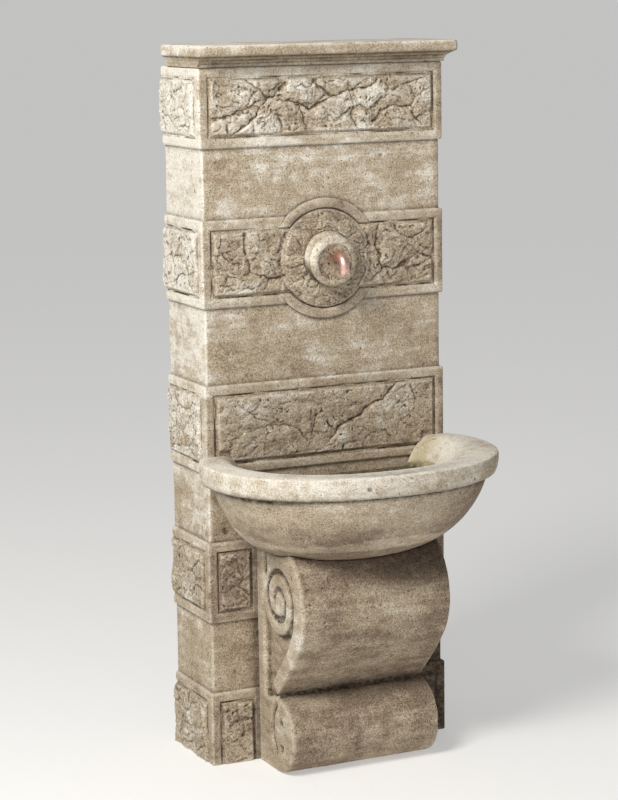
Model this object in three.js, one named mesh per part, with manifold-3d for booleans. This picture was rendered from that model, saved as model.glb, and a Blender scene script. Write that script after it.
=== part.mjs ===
// Wall fountain of cast stone: a banded back column with a coping, a half-round
// basin on a scrolled console, and a copper elbow spout in a round boss.
// Millimetres, +Z up, +Y towards the wall, origin at the middle of the underside.
import * as THREE from 'three';
import { mergeVertices } from 'three/addons/utils/BufferGeometryUtils.js';
import Module from 'manifold-3d';

const wasm = await Module();
wasm.setup();

// Column: plain shaft, and bands that stand proud of it
const PLAIN_WIDTH = 542;
const PLAIN_DEPTH = 194;
const BAND_PROUD = 6;
const FIT_GAP = 0.3;

// Heights from the ground up: bands, and the plain sections between them
const BASE_BAND_H = 157;
const LOW_BAND_H = 171;
const MID_BAND_H = 187;
const EYE_BAND_H = 180;
const TOP_BAND_H = 163;
const PLAIN_H = [151, 142, 159, 145];

// Frames and rough panels of the bands
const FRAME = 20;
const SIDE_FRAME = 24;
const POCKET = 5;
const GROOVE = 4;
const ROCK_EDGE = 2.5;
const ROCK_RISE = 7;
const CELL = 25;
const CHAMFER = 5;
const EDGE_ROUND = 3;

// Medallion and boss on the eye band
const RING_R = 124;
const DISC_R = 102;
const DISC_RISE = 11;
const BOSS_R = 53;
const BOSS_LENGTH = 38;
const DISH_R = 38;
const DISH_DEPTH = 8;
const BOSS_RISE = 8;
const BOSS_DROOP = 0.25;

// Coping
const COPING_FRONT = 44;
const COPING_SIDE = 13;
const COPING_BACK = 36;
const COPING_H = 44.7;
const NOSING_H = 23;

// Basin
const RIM_OVER_BAND = 40.5;
const RIM_H = 47;
const BASIN_HALF = 311;
const BASIN_BACK_HALF = 283;
const BASIN_WIDEST = 95;
const BASIN_REACH = 348;
const BASIN_POWER = 2.15;
const RIM_WIDTH = 58;
const BOWL_DEPTH = 212;
const BOWL_PINCH = 25;
const BOWL_SIDE = 0.934;
const BOWL_FRONT = 0.99;
const WALL = 42;
const BACK_WALL_DROP = 62;
// Inner face of the basin: depth below the rim, and how far in from the rim's inner edge
const HOLLOW = [[-1, -6], [4, 3], [16, 16], [40, 34], [65, 47], [98, 61], [130, 85], [155, 130], [166, 180]];

// Console
const CONSOLE_HALF = 170;
const WEB_RECESS = 13;
const STRIP = 34;
const ROLL_R = 80;
const ROLL_REACH = 91;
const SCROLL_REACH = 226;
const SCROLL_Z = 360;
const CREASE_RISE = 4;
const VOLUTE_R = 76;
const VOLUTE_IN = 106;
const GROOVE_WIDE = 9;
const GROOVE_DEEP = 5;

// Spout
const PIPE_R = 11;
const PIPE_BORE = 9.4;
const SPOUT_RISE = 6;
const SPOUT_SIDE = 6;
const SPOUT_REACH = 36;
const SPOUT_DROP = 32;
const SPOUT_BEND = 15;

// Derived places; the wall is at y = 0 and the front looks along -Y
const LOW_BAND = stack(BASE_BAND_H + PLAIN_H[0], LOW_BAND_H);
const MID_BAND = stack(LOW_BAND[1] + PLAIN_H[1], MID_BAND_H);
const EYE_BAND = stack(MID_BAND[1] + PLAIN_H[2], EYE_BAND_H);
const TOP_BAND = stack(EYE_BAND[1] + PLAIN_H[3], TOP_BAND_H);
const HEIGHT = TOP_BAND[1] + FIT_GAP + COPING_H;
const RIM_TOP = MID_BAND[0] + RIM_OVER_BAND;
const CREASE_Z = 2 * ROLL_R + CREASE_RISE;
const CONSOLE_TOP = RIM_TOP - RIM_H - 125;
const BAND_DEPTH = PLAIN_DEPTH + BAND_PROUD;
const BAND_HALF = PLAIN_WIDTH / 2 + BAND_PROUD;
const FRONT = -BAND_DEPTH;
const COPING_Z = TOP_BAND[1] + FIT_GAP;
const EYE_Z = (EYE_BAND[0] + EYE_BAND[1]) / 2;
const RIM_BULGE = 8;
const DEPTH = BAND_DEPTH + FIT_GAP + BASIN_REACH + RIM_BULGE;

// Helpers: shared maths, and the joining and cutting of closed bodies
const lerp = (a, b, t) => a + (b - a) * t;
const clamp = (v, a, b) => Math.min(b, Math.max(a, v));
const smooth = (t) => t * t * (3 - 2 * t);

function stack(from, height) {
  return [from, from + height];
}

function toSolid(geometry) {
  const g = geometry.clone();
  g.deleteAttribute('normal');
  g.deleteAttribute('uv');
  const merged = mergeVertices(g, 1e-3);
  return new wasm.Manifold(new wasm.Mesh({
    numProp: 3,
    vertProperties: new Float32Array(merged.attributes.position.array),
    triVerts: new Uint32Array(merged.index.array),
  }));
}

function toGeometry(solid) {
  const mesh = solid.getMesh();
  const g = new THREE.BufferGeometry();
  const count = mesh.vertProperties.length / mesh.numProp;
  const position = new Float32Array(count * 3);
  for (let i = 0; i < count; i += 1) {
    for (let k = 0; k < 3; k += 1) {
      position[i * 3 + k] = mesh.vertProperties[i * mesh.numProp + k];
    }
  }
  g.setAttribute('position', new THREE.BufferAttribute(position, 3));
  g.setIndex(new THREE.BufferAttribute(new Uint32Array(mesh.triVerts), 1));
  g.computeVertexNormals();
  return g;
}

// Closed body from a list of vertices and triangles
function meshOf(points, faces) {
  const g = new THREE.BufferGeometry();
  g.setAttribute('position', new THREE.Float32BufferAttribute(points.flat(), 3));
  g.setIndex(faces.flat());
  return g;
}

function boxSolid(x0, x1, y0, y1, z0, z1) {
  const g = new THREE.BoxGeometry(x1 - x0, y1 - y0, z1 - z0);
  g.translate((x0 + x1) / 2, (y0 + y1) / 2, (z0 + z1) / 2);
  return toSolid(g);
}

// Round bar along Y, from y0 to y1
function barSolid(x, z, r, y0, y1, sides) {
  const g = new THREE.CylinderGeometry(r, r, y1 - y0, sides);
  g.translate(x, (y0 + y1) / 2, z);
  return toSolid(g);
}

// Outline in the side view (y, z) pushed along X
function sideSolid(points, x0, x1) {
  const shape = new THREE.Shape(points.map(([y, z]) => new THREE.Vector2(y, z)));
  const g = new THREE.ExtrudeGeometry(shape, { depth: x1 - x0, bevelEnabled: false });
  g.applyMatrix4(new THREE.Matrix4().makeBasis(
    new THREE.Vector3(0, 1, 0),
    new THREE.Vector3(0, 0, 1),
    new THREE.Vector3(1, 0, 0),
  ));
  g.translate(x0, 0, 0);
  return toSolid(g);
}

function join(list) {
  return list.reduce((a, b) => a.add(b));
}

// Rough split stone: flat, tilted chips with sunk joints between them
function hash(i, j, seed) {
  const s = Math.sin(i * 127.1 + j * 311.7 + seed * 74.7) * 43758.5453;
  return s - Math.floor(s);
}

function rock(u, v, seed) {
  const size = 62;
  const a = (u + 0.35 * v) / size;
  const b = (v - 0.2 * u) / (size * 0.7);
  let first = 9;
  let second = 9;
  let height = 0;
  for (let i = Math.floor(a) - 1; i <= Math.floor(a) + 1; i += 1) {
    for (let j = Math.floor(b) - 1; j <= Math.floor(b) + 1; j += 1) {
      const du = a - i - 0.15 - 0.7 * hash(i, j, seed);
      const dv = b - j - 0.15 - 0.7 * hash(j, i, seed + 5);
      const d = Math.hypot(du, dv);
      if (d < first) {
        second = first;
        first = d;
        const tilt = (hash(i, j, seed + 9) - 0.5) * du + (hash(i, j, seed + 13) - 0.5) * dv;
        height = 0.35 + 0.65 * hash(i, j, seed + 3) + 0.9 * tilt;
      } else if (d < second) {
        second = d;
      }
    }
  }
  const joint = clamp((second - first) / 0.22, 0, 1);
  return clamp(height * lerp(0.3, 1, joint), 0, 1);
}

// Grid line of a panel: a narrow chamfer strip at each end, even steps between
function station(a, b, i, n) {
  if (i === 0) return a;
  if (i === n) return b;
  return lerp(a + CHAMFER, b - CHAMFER, (i - 1) / (n - 2));
}

// Rough panel standing in its pocket: a closed slab whose outer face is a grid.
// place(u, v, h) gives the point h outside the frame's face.
function rockSlab(u0, u1, v0, v1, seed, place, limit) {
  const nu = Math.max(4, Math.round((u1 - u0) / CELL) + 2);
  const nv = Math.max(4, Math.round((v1 - v0) / CELL) + 2);
  const points = [];
  const faces = [];
  const at = (i, j) => j * (nu + 1) + i;
  for (let j = 0; j <= nv; j += 1) {
    for (let i = 0; i <= nu; i += 1) {
      const u = station(u0, u1, i, nu);
      const v = station(v0, v1, j, nv);
      const edged = i === 0 || j === 0 || i === nu || j === nv;
      const h = edged ? -ROCK_EDGE : ROCK_RISE * rock(u, v, seed);
      points.push(place(u, v, Math.min(h, limit(u, v))));
    }
  }
  for (let j = 0; j < nv; j += 1) {
    for (let i = 0; i < nu; i += 1) {
      if ((i + j) % 2) {
        faces.push([at(i, j), at(i + 1, j), at(i, j + 1)]);
        faces.push([at(i + 1, j), at(i + 1, j + 1), at(i, j + 1)]);
      } else {
        faces.push([at(i, j), at(i + 1, j), at(i + 1, j + 1)]);
        faces.push([at(i, j), at(i + 1, j + 1), at(i, j + 1)]);
      }
    }
  }
  const edge = [];
  for (let i = 0; i < nu; i += 1) edge.push([i, 0]);
  for (let j = 0; j < nv; j += 1) edge.push([nu, j]);
  for (let i = nu; i > 0; i -= 1) edge.push([i, nv]);
  for (let j = nv; j > 0; j -= 1) edge.push([0, j]);
  const back = points.length;
  for (const [i, j] of edge) {
    points.push(place(station(u0, u1, i, nu), station(v0, v1, j, nv), -POCKET - 2));
  }
  const middle = points.length;
  points.push(place((u0 + u1) / 2, (v0 + v1) / 2, -POCKET - 2));
  for (let k = 0; k < edge.length; k += 1) {
    const n = (k + 1) % edge.length;
    const p = at(...edge[k]);
    const q = at(...edge[n]);
    faces.push([p, back + k, q]);
    faces.push([q, back + k, back + n]);
    faces.push([middle, back + n, back + k]);
  }
  return toSolid(meshOf(points, faces));
}

const onFront = (u, v, h) => [u, FRONT - h, v];
const onLeft = (u, v, h) => [-BAND_HALF - h, -u, v];
const onRight = (u, v, h) => [BAND_HALF + h, u, v];

// Plate of one band with rounded arrises, its back cut flat at the wall
function bandPlate(z0, z1) {
  const r = EDGE_ROUND;
  const w = BAND_HALF - r;
  const shape = new THREE.Shape();
  shape.moveTo(-w, 20);
  shape.lineTo(-w, FRONT + r);
  shape.lineTo(w, FRONT + r);
  shape.lineTo(w, 20);
  shape.closePath();
  const g = new THREE.ExtrudeGeometry(shape, {
    depth: z1 - z0 - 2 * r,
    bevelEnabled: true,
    bevelThickness: r,
    bevelSize: r,
    bevelSegments: 2,
  });
  g.translate(0, 0, z0 + r);
  return toSolid(g);
}

function buildColumn() {
  const bands = [[0, BASE_BAND_H], LOW_BAND, MID_BAND, EYE_BAND, TOP_BAND];
  const half = PLAIN_WIDTH / 2;
  let body = boxSolid(-half, half, -PLAIN_DEPTH, 20, 0, TOP_BAND[1] - 1);
  for (const [z0, z1] of bands) body = body.add(bandPlate(z0, z1));
  const ring = barSolid(0, EYE_Z, RING_R, FRONT, FRONT + POCKET + 20, 48);
  body = body.add(ring);

  const pockets = [];
  const slabs = [];
  const free = () => 99;
  const inner = CONSOLE_HALF + 7;
  // Rock stays behind the frame's face where the basin's ends and the console sit
  const rimEnd = (u, v) => (v < RIM_TOP + CELL + 8 && Math.abs(u) > BASIN_BACK_HALF - RIM_WIDTH - 2 * CELL ? 0 : 99);
  const underBowl = (u, v) => (v > LOW_BAND[1] - FRAME - 60 && Math.abs(u) < 245 ? 0 : 99);
  bands.forEach(([z0, z1], n) => {
    const low = n === 0 ? 9 : z0 + FRAME;
    const high = z1 - FRAME;
    const g = GROOVE;
    const cut = n === 0 ? 0 : g;
    if (n < 2) {
      for (const s of [-1, 1]) {
        const a = s < 0 ? -BAND_HALF + FRAME : inner;
        const b = s < 0 ? -inner : BAND_HALF - FRAME;
        pockets.push(boxSolid(a, b, FRONT - 30, FRONT + POCKET, low - (n ? 0 : 30), high));
        slabs.push(rockSlab(a + g, b - g, low + cut, high - g, 11 + n + s, onFront, n ? underBowl : free));
      }
    } else {
      const w = BAND_HALF - FRAME;
      pockets.push(boxSolid(-w, w, FRONT - 30, FRONT + POCKET, low, high));
      slabs.push(rockSlab(-w + g, w - g, low + g, high - g, 21 + n, onFront, n === 2 ? rimEnd : free));
    }
    const front = BAND_DEPTH - SIDE_FRAME;
    for (const s of [-1, 1]) {
      const x0 = s < 0 ? -BAND_HALF - 30 : BAND_HALF - POCKET;
      const x1 = s < 0 ? -BAND_HALF + POCKET : BAND_HALF + 30;
      pockets.push(boxSolid(x0, x1, -front, 30, low - (n ? 0 : 30), high));
      if (s < 0) {
        slabs.push(rockSlab(g, front - g, low + cut, high - g, 31 + n, onLeft, free));
      } else {
        slabs.push(rockSlab(-front + g, -g, low + cut, high - g, 41 + n, onRight, free));
      }
    }
  });
  pockets.push(barSolid(0, EYE_Z, RING_R - FRAME, FRONT - 30, FRONT + POCKET, 48));
  body = body.subtract(join(pockets));
  body = body.add(join(slabs));
  body = body.add(buildMedallion());
  return body.subtract(boxSolid(-BAND_HALF - 50, BAND_HALF + 50, 0, 60, -10, HEIGHT));
}

// Rough disc and round, dished boss, turned about an axis along Y
function buildMedallion() {
  const sides = 32;
  const start = -POCKET - 3;
  const disc = [[0, start], [DISC_R, start], [DISC_R, -2]];
  for (let i = 1; i <= 5; i += 1) {
    const t = i / 5;
    disc.push([lerp(DISC_R, BOSS_R - 6, t), DISC_RISE * Math.sin(Math.PI * (0.12 + 0.4 * t))]);
  }
  disc.push([0, DISC_RISE]);
  const discGeometry = new THREE.LatheGeometry(disc.map(([r, h]) => new THREE.Vector2(r, h)), sides);
  const p = mergeVertices(stripped(discGeometry), 1e-3);
  const a = p.attributes.position;
  for (let i = 0; i < a.count; i += 1) {
    const r = Math.hypot(a.getX(i), a.getZ(i));
    if (a.getY(i) > 0 && r > 1) {
      const lift = 4.5 * (rock(a.getX(i) * 1.7, a.getZ(i) * 1.7, 77) - 0.4);
      a.setY(i, Math.max(0.5, a.getY(i) + lift));
    }
  }
  const top = DISC_RISE + BOSS_LENGTH;
  const soft = 15;
  const boss = [[0, 0], [BOSS_R - 5, 0], [BOSS_R - 4, DISC_RISE]];
  for (let i = 0; i <= 6; i += 1) {
    const t = i / 6;
    const angle = lerp(-0.45, 1, t) * Math.PI / 2;
    boss.push([BOSS_R - soft + soft * Math.cos(angle), top - soft + soft * Math.sin(angle)]);
  }
  for (let i = 1; i < 4; i += 1) {
    const t = i / 4;
    boss.push([DISH_R * Math.cos(t * Math.PI / 2), top - DISH_DEPTH * Math.sin(t * Math.PI / 2)]);
  }
  boss.push([0, top - DISH_DEPTH]);
  const bossGeometry = new THREE.LatheGeometry(boss.map(([r, h]) => new THREE.Vector2(r, h)), sides);
  // The boss leans down a little from a middle that sits above the disc's
  const b = bossGeometry.attributes.position;
  for (let i = 0; i < b.count; i += 1) b.setZ(i, b.getZ(i) - BOSS_RISE + BOSS_DROOP * b.getY(i));
  // The lathe's own axis (+Y) turns to look out of the front
  const turn = new THREE.Matrix4().makeRotationX(Math.PI).setPosition(0, FRONT, EYE_Z);
  p.applyMatrix4(turn);
  bossGeometry.applyMatrix4(turn);
  const socket = barSolid(SPOUT_SIDE, EYE_Z + SPOUT_RISE, PIPE_R + FIT_GAP, -400, FRONT - top + 22, 24);
  return toSolid(p).add(toSolid(bossGeometry)).subtract(socket);
}

function stripped(geometry) {
  geometry.deleteAttribute('normal');
  geometry.deleteAttribute('uv');
  return geometry;
}

// Coping: mitred mouldings on the front and both ends, flat back
function buildCoping() {
  const z0 = COPING_Z;
  const nose = HEIGHT - NOSING_H;
  const profile = [[z0, 0.1], [lerp(z0, nose, 0.3), 0.14], [lerp(z0, nose, 0.62), 0.32]];
  profile.push([lerp(z0, nose, 0.85), 0.6], [nose - 1.5, 0.74], [nose, 0.86]);
  for (let i = 0; i <= 4; i += 1) {
    const angle = lerp(-1, 1, i / 4) * Math.PI / 2 * 0.8;
    profile.push([nose + NOSING_H / 2 + (NOSING_H / 2 - 1) * Math.sin(angle), 0.9 + 0.1 * Math.cos(angle)]);
  }
  profile.push([HEIGHT, 0.85]);
  const points = [];
  const faces = [];
  for (const [z, share] of profile) {
    const x = BAND_HALF + COPING_SIDE * share;
    const y = FRONT - COPING_FRONT * share;
    points.push([-x, -COPING_BACK, z], [-x, y, z], [x, y, z], [x, -COPING_BACK, z]);
  }
  for (let k = 0; k + 1 < profile.length; k += 1) {
    for (let i = 0; i < 4; i += 1) {
      const n = (i + 1) % 4;
      faces.push([k * 4 + i, k * 4 + n, k * 4 + 4 + n], [k * 4 + i, k * 4 + 4 + n, k * 4 + 4 + i]);
    }
  }
  const t = (profile.length - 1) * 4;
  faces.push([0, 2, 1], [0, 3, 2], [t, t + 1, t + 2], [t, t + 2, t + 3]);
  return toSolid(meshOf(points, faces));
}

// Plan of the basin, from the back right corner round the front to the back left.
// pinch draws the two back corners in.
function basinPlan(sx, sy, out, pinch = 0) {
  const list = [];
  const back = FRONT - FIT_GAP;
  const side = 4;
  const around = 28;
  const half = BASIN_HALF * sx + out;
  const cut = (BASIN_HALF - BASIN_BACK_HALF) * sx + pinch;
  for (let i = 0; i < side; i += 1) {
    const t = i / side;
    list.push([half - cut * (1 - t) ** 2.2, back - BASIN_WIDEST * sy * t]);
  }
  const reach = (BASIN_REACH - BASIN_WIDEST) * sy + out;
  for (let i = 0; i <= around; i += 1) {
    const a = Math.PI * i / around;
    const c = Math.cos(a);
    const x = half * Math.sign(c) * Math.abs(c) ** (2 / BASIN_POWER);
    const y = reach * Math.abs(Math.sin(a)) ** (2 / BASIN_POWER);
    list.push([x, back - BASIN_WIDEST * sy - y]);
  }
  for (let i = side - 1; i >= 0; i -= 1) {
    const t = i / side;
    list.push([-half + cut * (1 - t) ** 2.2, back - BASIN_WIDEST * sy * t]);
  }
  return list;
}

// Body through a stack of plans: each level is [z, list of (x, y)]
function loft(levels) {
  const n = levels[0][1].length;
  const points = [];
  const faces = [];
  for (const [z, list] of levels) {
    for (const [x, y] of list) points.push([x, y, z]);
  }
  for (let k = 0; k + 1 < levels.length; k += 1) {
    for (let i = 0; i < n; i += 1) {
      const m = (i + 1) % n;
      faces.push([k * n + i, k * n + n + m, k * n + m], [k * n + i, k * n + n + i, k * n + n + m]);
    }
  }
  for (const [k, flip] of [[0, true], [levels.length - 1, false]]) {
    const list = levels[k][1];
    const contour = list.map(([x, y]) => new THREE.Vector2(x, y));
    for (const tri of THREE.ShapeUtils.triangulateShape(contour, [])) {
      const [a, b, c] = tri.map((v) => v + k * n);
      faces.push(flip ? [a, c, b] : [a, b, c]);
    }
  }
  return toSolid(meshOf(points, faces));
}

// Share of the rim's plan that the bowl keeps at a depth below the rim, 0 to 1
const bowlShare = (t, full) => full * (1 - (0.97 * t) ** 1.36) ** (1 / 3.6);

function buildBowl(grow) {
  const floor = RIM_TOP - BOWL_DEPTH;
  const under = RIM_TOP - RIM_H;
  const levels = [];
  const steps = 7;
  for (let i = steps; i >= 0; i -= 1) {
    const t = Math.sin(i / steps * Math.PI / 2);
    const z = lerp(under, floor, t);
    const plan = basinPlan(bowlShare(t, BOWL_SIDE), bowlShare(t, BOWL_FRONT), grow, BOWL_PINCH * smooth(Math.min(1, 2 * t)));
    levels.push([z - (i === steps ? grow : 0), plan]);
  }
  const rim = [[-5, 0], [0.5, 0.1], [6, 0.3], [RIM_BULGE, 0.6], [6, 0.85], [1, 0.98], [-1.5, 1]];
  for (const [out, share] of rim) {
    levels.push([under + RIM_H * share, basinPlan(1, 1, out + grow)]);
  }
  levels[levels.length - rim.length][0] += 0.4;
  return loft(levels);
}

// Plan of the hollow, moved in from the rim's inner edge
function basinHollow(inset) {
  const share = 1 - inset / (BASIN_HALF - RIM_WIDTH);
  const x = (BASIN_HALF - RIM_WIDTH) / BASIN_HALF;
  const y = (BASIN_REACH - RIM_WIDTH) / BASIN_REACH;
  return basinPlan(x * share, y * share, 0, 6);
}

function buildBasin() {
  const floor = RIM_TOP - BOWL_DEPTH + WALL;
  const levels = [[floor, basinHollow(HOLLOW[HOLLOW.length - 1][1] + 20)]];
  for (const [depth, inset] of [...HOLLOW].reverse()) {
    levels.push([RIM_TOP - depth, basinHollow(inset)]);
  }
  const hollow = loft(levels);
  const behind = FRONT - FIT_GAP;
  const backTop = RIM_TOP - BACK_WALL_DROP;
  const keep = boxSolid(-BASIN_HALF, BASIN_HALF, behind - 26, behind + 5, 0, backTop);
  const shell = buildBowl(0).subtract(hollow.subtract(keep));
  return shell.subtract(boxSolid(-400, 400, behind, behind + 50, 0, HEIGHT));
}

// Cubic curve through four control points, as a list of steps
function bezier(p, steps) {
  const list = [];
  for (let i = 0; i <= steps; i += 1) {
    const t = i / steps;
    const w = [(1 - t) ** 3, 3 * t * (1 - t) ** 2, 3 * t * t * (1 - t), t ** 3];
    list.push([0, 1].map((k) => w[0] * p[0][k] + w[1] * p[1][k] + w[2] * p[2][k] + w[3] * p[3][k]));
  }
  return list;
}

// Front line of the console in the side view, from the top down to the crease
function scrollLine() {
  const reach = FRONT - SCROLL_REACH;
  const creaseY = FRONT - ROLL_REACH;
  const top = bezier([[FRONT - 140, CONSOLE_TOP], [FRONT - 195, CONSOLE_TOP - 20], [reach, SCROLL_Z + 55], [reach, SCROLL_Z]], 7);
  const fall = bezier([[reach, SCROLL_Z], [reach, SCROLL_Z - 70], [FRONT - 160, CREASE_Z + 71], [creaseY, CREASE_Z]], 9);
  return top.concat(fall.slice(1));
}

// The line moved towards the wall by a width that changes along it
function inset(line, width) {
  return line.map(([y, z], i) => {
    const a = line[Math.max(0, i - 1)];
    const b = line[Math.min(line.length - 1, i + 1)];
    const len = Math.hypot(b[0] - a[0], b[1] - a[1]);
    const w = width(i / (line.length - 1));
    return [y - (b[1] - a[1]) / len * w, z + (b[0] - a[0]) / len * w];
  });
}

function buildConsole() {
  const back = FRONT - FIT_GAP;
  const line = scrollLine();
  const rollY = FRONT - ROLL_REACH;
  const roll = (x0, x1, r) => {
    const g = new THREE.CylinderGeometry(r, r, x1 - x0, 32);
    g.rotateZ(Math.PI / 2);
    g.translate((x0 + x1) / 2, rollY, ROLL_R);
    return toSolid(g);
  };
  const web = CONSOLE_HALF - WEB_RECESS;
  const bodyLine = [[back, CONSOLE_TOP], ...line, [rollY, 0], [back, 0]];
  const core = sideSolid(bodyLine, -web, web);
  const whole = sideSolid(bodyLine, -CONSOLE_HALF, CONSOLE_HALF)
    .add(roll(-CONSOLE_HALF, CONSOLE_HALF, ROLL_R));
  // Raised parts of the sides: strip at the wall, ribbon, volute and lower roll
  const ribbon = line.concat(inset(line, (t) => lerp(52, 32, t)).reverse());
  const voluteY = FRONT - VOLUTE_IN;
  const voluteZ = SCROLL_Z + 11;
  const disc = new THREE.CylinderGeometry(VOLUTE_R, VOLUTE_R, 2 * CONSOLE_HALF, 36);
  disc.rotateZ(Math.PI / 2);
  disc.translate(0, voluteY, voluteZ);
  const sides = join([
    boxSolid(-CONSOLE_HALF, CONSOLE_HALF, back - STRIP, back, 0, CONSOLE_TOP),
    sideSolid(ribbon, -CONSOLE_HALF, CONSOLE_HALF),
    toSolid(disc),
    boxSolid(-CONSOLE_HALF, CONSOLE_HALF, FRONT - 200, FRONT - 52, voluteZ, CONSOLE_TOP),
    roll(-CONSOLE_HALF, CONSOLE_HALF, ROLL_R),
    boxSolid(-CONSOLE_HALF, CONSOLE_HALF, rollY, back, 0, CREASE_Z - 14),
  ]);
  let body = core.add(roll(-web, web, ROLL_R)).add(sides.intersect(whole));
  // Spiral groove of the volute and the curved groove round the lower roll's face
  const spiral = [];
  for (let i = 0; i <= 27; i += 1) {
    const a = lerp(0, 3 * Math.PI, i / 27);
    const r = VOLUTE_R + 4 - 10 * a / (Math.PI / 2);
    spiral.push([voluteY - r * Math.sin(a), voluteZ - r * Math.cos(a)]);
  }
  const lower = [];
  for (let i = 0; i <= 10; i += 1) {
    const a = lerp(0.75, 2.35, i / 10);
    lower.push([rollY - 52 + 75 * Math.sin(a), ROLL_R + 12 + 75 * Math.cos(a)]);
  }
  for (const groove of [spiral, lower]) {
    const wide = (t) => GROOVE_WIDE / 2 * (groove === spiral ? 1.1 - 0.4 * t : 0.7);
    const outer = inset(groove, wide);
    const innerLine = inset(groove, (t) => -wide(t)).reverse();
    for (const s of [-1, 1]) {
      const x0 = s < 0 ? -CONSOLE_HALF - 5 : CONSOLE_HALF - GROOVE_DEEP;
      body = body.subtract(sideSolid(outer.concat(innerLine), x0, x0 + GROOVE_DEEP + 5));
    }
  }
  // Two small sinkings in each face of the lower roll
  for (const dz of [-20, 40]) {
    const g = new THREE.CylinderGeometry(6, 6, 2 * CONSOLE_HALF + 10, 8);
    g.rotateZ(Math.PI / 2);
    g.translate(0, rollY - 20, ROLL_R + dz);
    const inside = boxSolid(-CONSOLE_HALF + 8, CONSOLE_HALF - 8, -600, 0, 0, 300);
    body = body.subtract(toSolid(g).subtract(inside));
  }
  return body
    .subtract(buildBowl(FIT_GAP))
    .subtract(boxSolid(-400, 400, back, back + 50, -5, HEIGHT))
    .subtract(boxSolid(-400, 400, -700, 50, -60, 0));
}

// Copper elbow: out of the boss, then down
function buildSpout() {
  const z = EYE_Z + SPOUT_RISE;
  const face = FRONT - DISC_RISE - BOSS_LENGTH + DISH_DEPTH;
  const start = face + 12;
  const end = face - SPOUT_REACH;
  const bend = SPOUT_BEND;
  const path = new THREE.CurvePath();
  const at = (y, h) => new THREE.Vector3(SPOUT_SIDE, y, h);
  path.add(new THREE.LineCurve3(at(start, z), at(end + bend, z)));
  const k = 0.5523 * bend;
  path.add(new THREE.CubicBezierCurve3(at(end + bend, z), at(end + bend - k, z), at(end, z - bend + k), at(end, z - bend)));
  path.add(new THREE.LineCurve3(at(end, z - bend), at(end, z - SPOUT_DROP)));
  const shape = new THREE.Shape();
  shape.absarc(0, 0, PIPE_R, 0, Math.PI * 2, false);
  const hole = new THREE.Path();
  hole.absarc(0, 0, PIPE_BORE, 0, Math.PI * 2, true);
  shape.holes.push(hole);
  return new THREE.ExtrudeGeometry(shape, { steps: 9, curveSegments: 8, extrudePath: path });
}

const root = new THREE.Group();
root.position.set(0, DEPTH / 2, 0);

function addPart(name, geometry, color, roughness, metalness) {
  const material = new THREE.MeshStandardMaterial({ color, roughness, metalness });
  const mesh = new THREE.Mesh(geometry, material);
  mesh.name = name;
  root.add(mesh);
}

addPart('column', toGeometry(buildColumn()), 0xb5a78d, 0.92, 0);
addPart('coping', toGeometry(buildCoping()), 0xb9ac94, 0.92, 0);
addPart('basin', toGeometry(buildBasin()), 0xbfb39b, 0.9, 0);
addPart('console', toGeometry(buildConsole()), 0xab9c80, 0.93, 0);
addPart('spout', buildSpout(), 0xc98a72, 0.35, 1);

export default root;
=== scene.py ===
"""Cast stone wall fountain: a banded back column with a coping, a basin on a scrolled console, a copper spout."""

import math

import bpy
import numpy as np
from bpy.props import FloatProperty, FloatVectorProperty, PointerProperty
from mathutils import Matrix, Vector


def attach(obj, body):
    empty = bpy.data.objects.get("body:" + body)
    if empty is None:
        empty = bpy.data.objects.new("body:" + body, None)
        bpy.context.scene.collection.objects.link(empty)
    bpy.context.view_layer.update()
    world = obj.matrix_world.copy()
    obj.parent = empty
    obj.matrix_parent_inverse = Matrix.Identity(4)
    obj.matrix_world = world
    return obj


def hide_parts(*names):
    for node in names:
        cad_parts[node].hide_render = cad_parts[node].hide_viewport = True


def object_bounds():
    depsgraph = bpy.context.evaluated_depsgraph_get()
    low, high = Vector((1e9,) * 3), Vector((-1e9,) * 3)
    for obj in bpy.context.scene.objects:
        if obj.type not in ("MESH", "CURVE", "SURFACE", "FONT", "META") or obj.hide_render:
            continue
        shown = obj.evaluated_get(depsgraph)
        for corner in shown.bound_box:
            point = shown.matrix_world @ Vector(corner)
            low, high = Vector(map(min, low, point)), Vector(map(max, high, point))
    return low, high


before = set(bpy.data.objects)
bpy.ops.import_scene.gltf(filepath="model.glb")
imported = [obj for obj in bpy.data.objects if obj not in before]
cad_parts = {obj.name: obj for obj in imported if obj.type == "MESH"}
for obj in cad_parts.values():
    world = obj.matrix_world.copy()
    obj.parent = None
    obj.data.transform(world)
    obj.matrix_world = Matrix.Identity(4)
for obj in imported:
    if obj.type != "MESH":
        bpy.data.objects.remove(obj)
CAD_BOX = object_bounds()
WALL_Y = CAD_BOX[1].y

bl_info = {
    "name": "Cast stone wall fountain",
    "version": (1, 0, 0),
    "blender": (4, 5, 0),
    "location": "3D Viewport > Sidebar > Fountain",
    "description": "Builds a cast stone wall fountain piece by piece",
    "category": "Object",
}


# Properties


def fractions(code):
    """The three parts of a hex colour, 0 to 1."""
    return [int(code[i : i + 2], 16) / 255 for i in (1, 3, 5)]


def length(name, description, default):
    return FloatProperty(
        name=name, description=description, default=default, min=0, subtype="DISTANCE", unit="LENGTH"
    )


def colour(name, description, default):
    value = fractions(default)
    return FloatVectorProperty(
        name=name, description=description, default=value, min=0, max=1, size=3, subtype="COLOR_GAMMA"
    )


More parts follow.
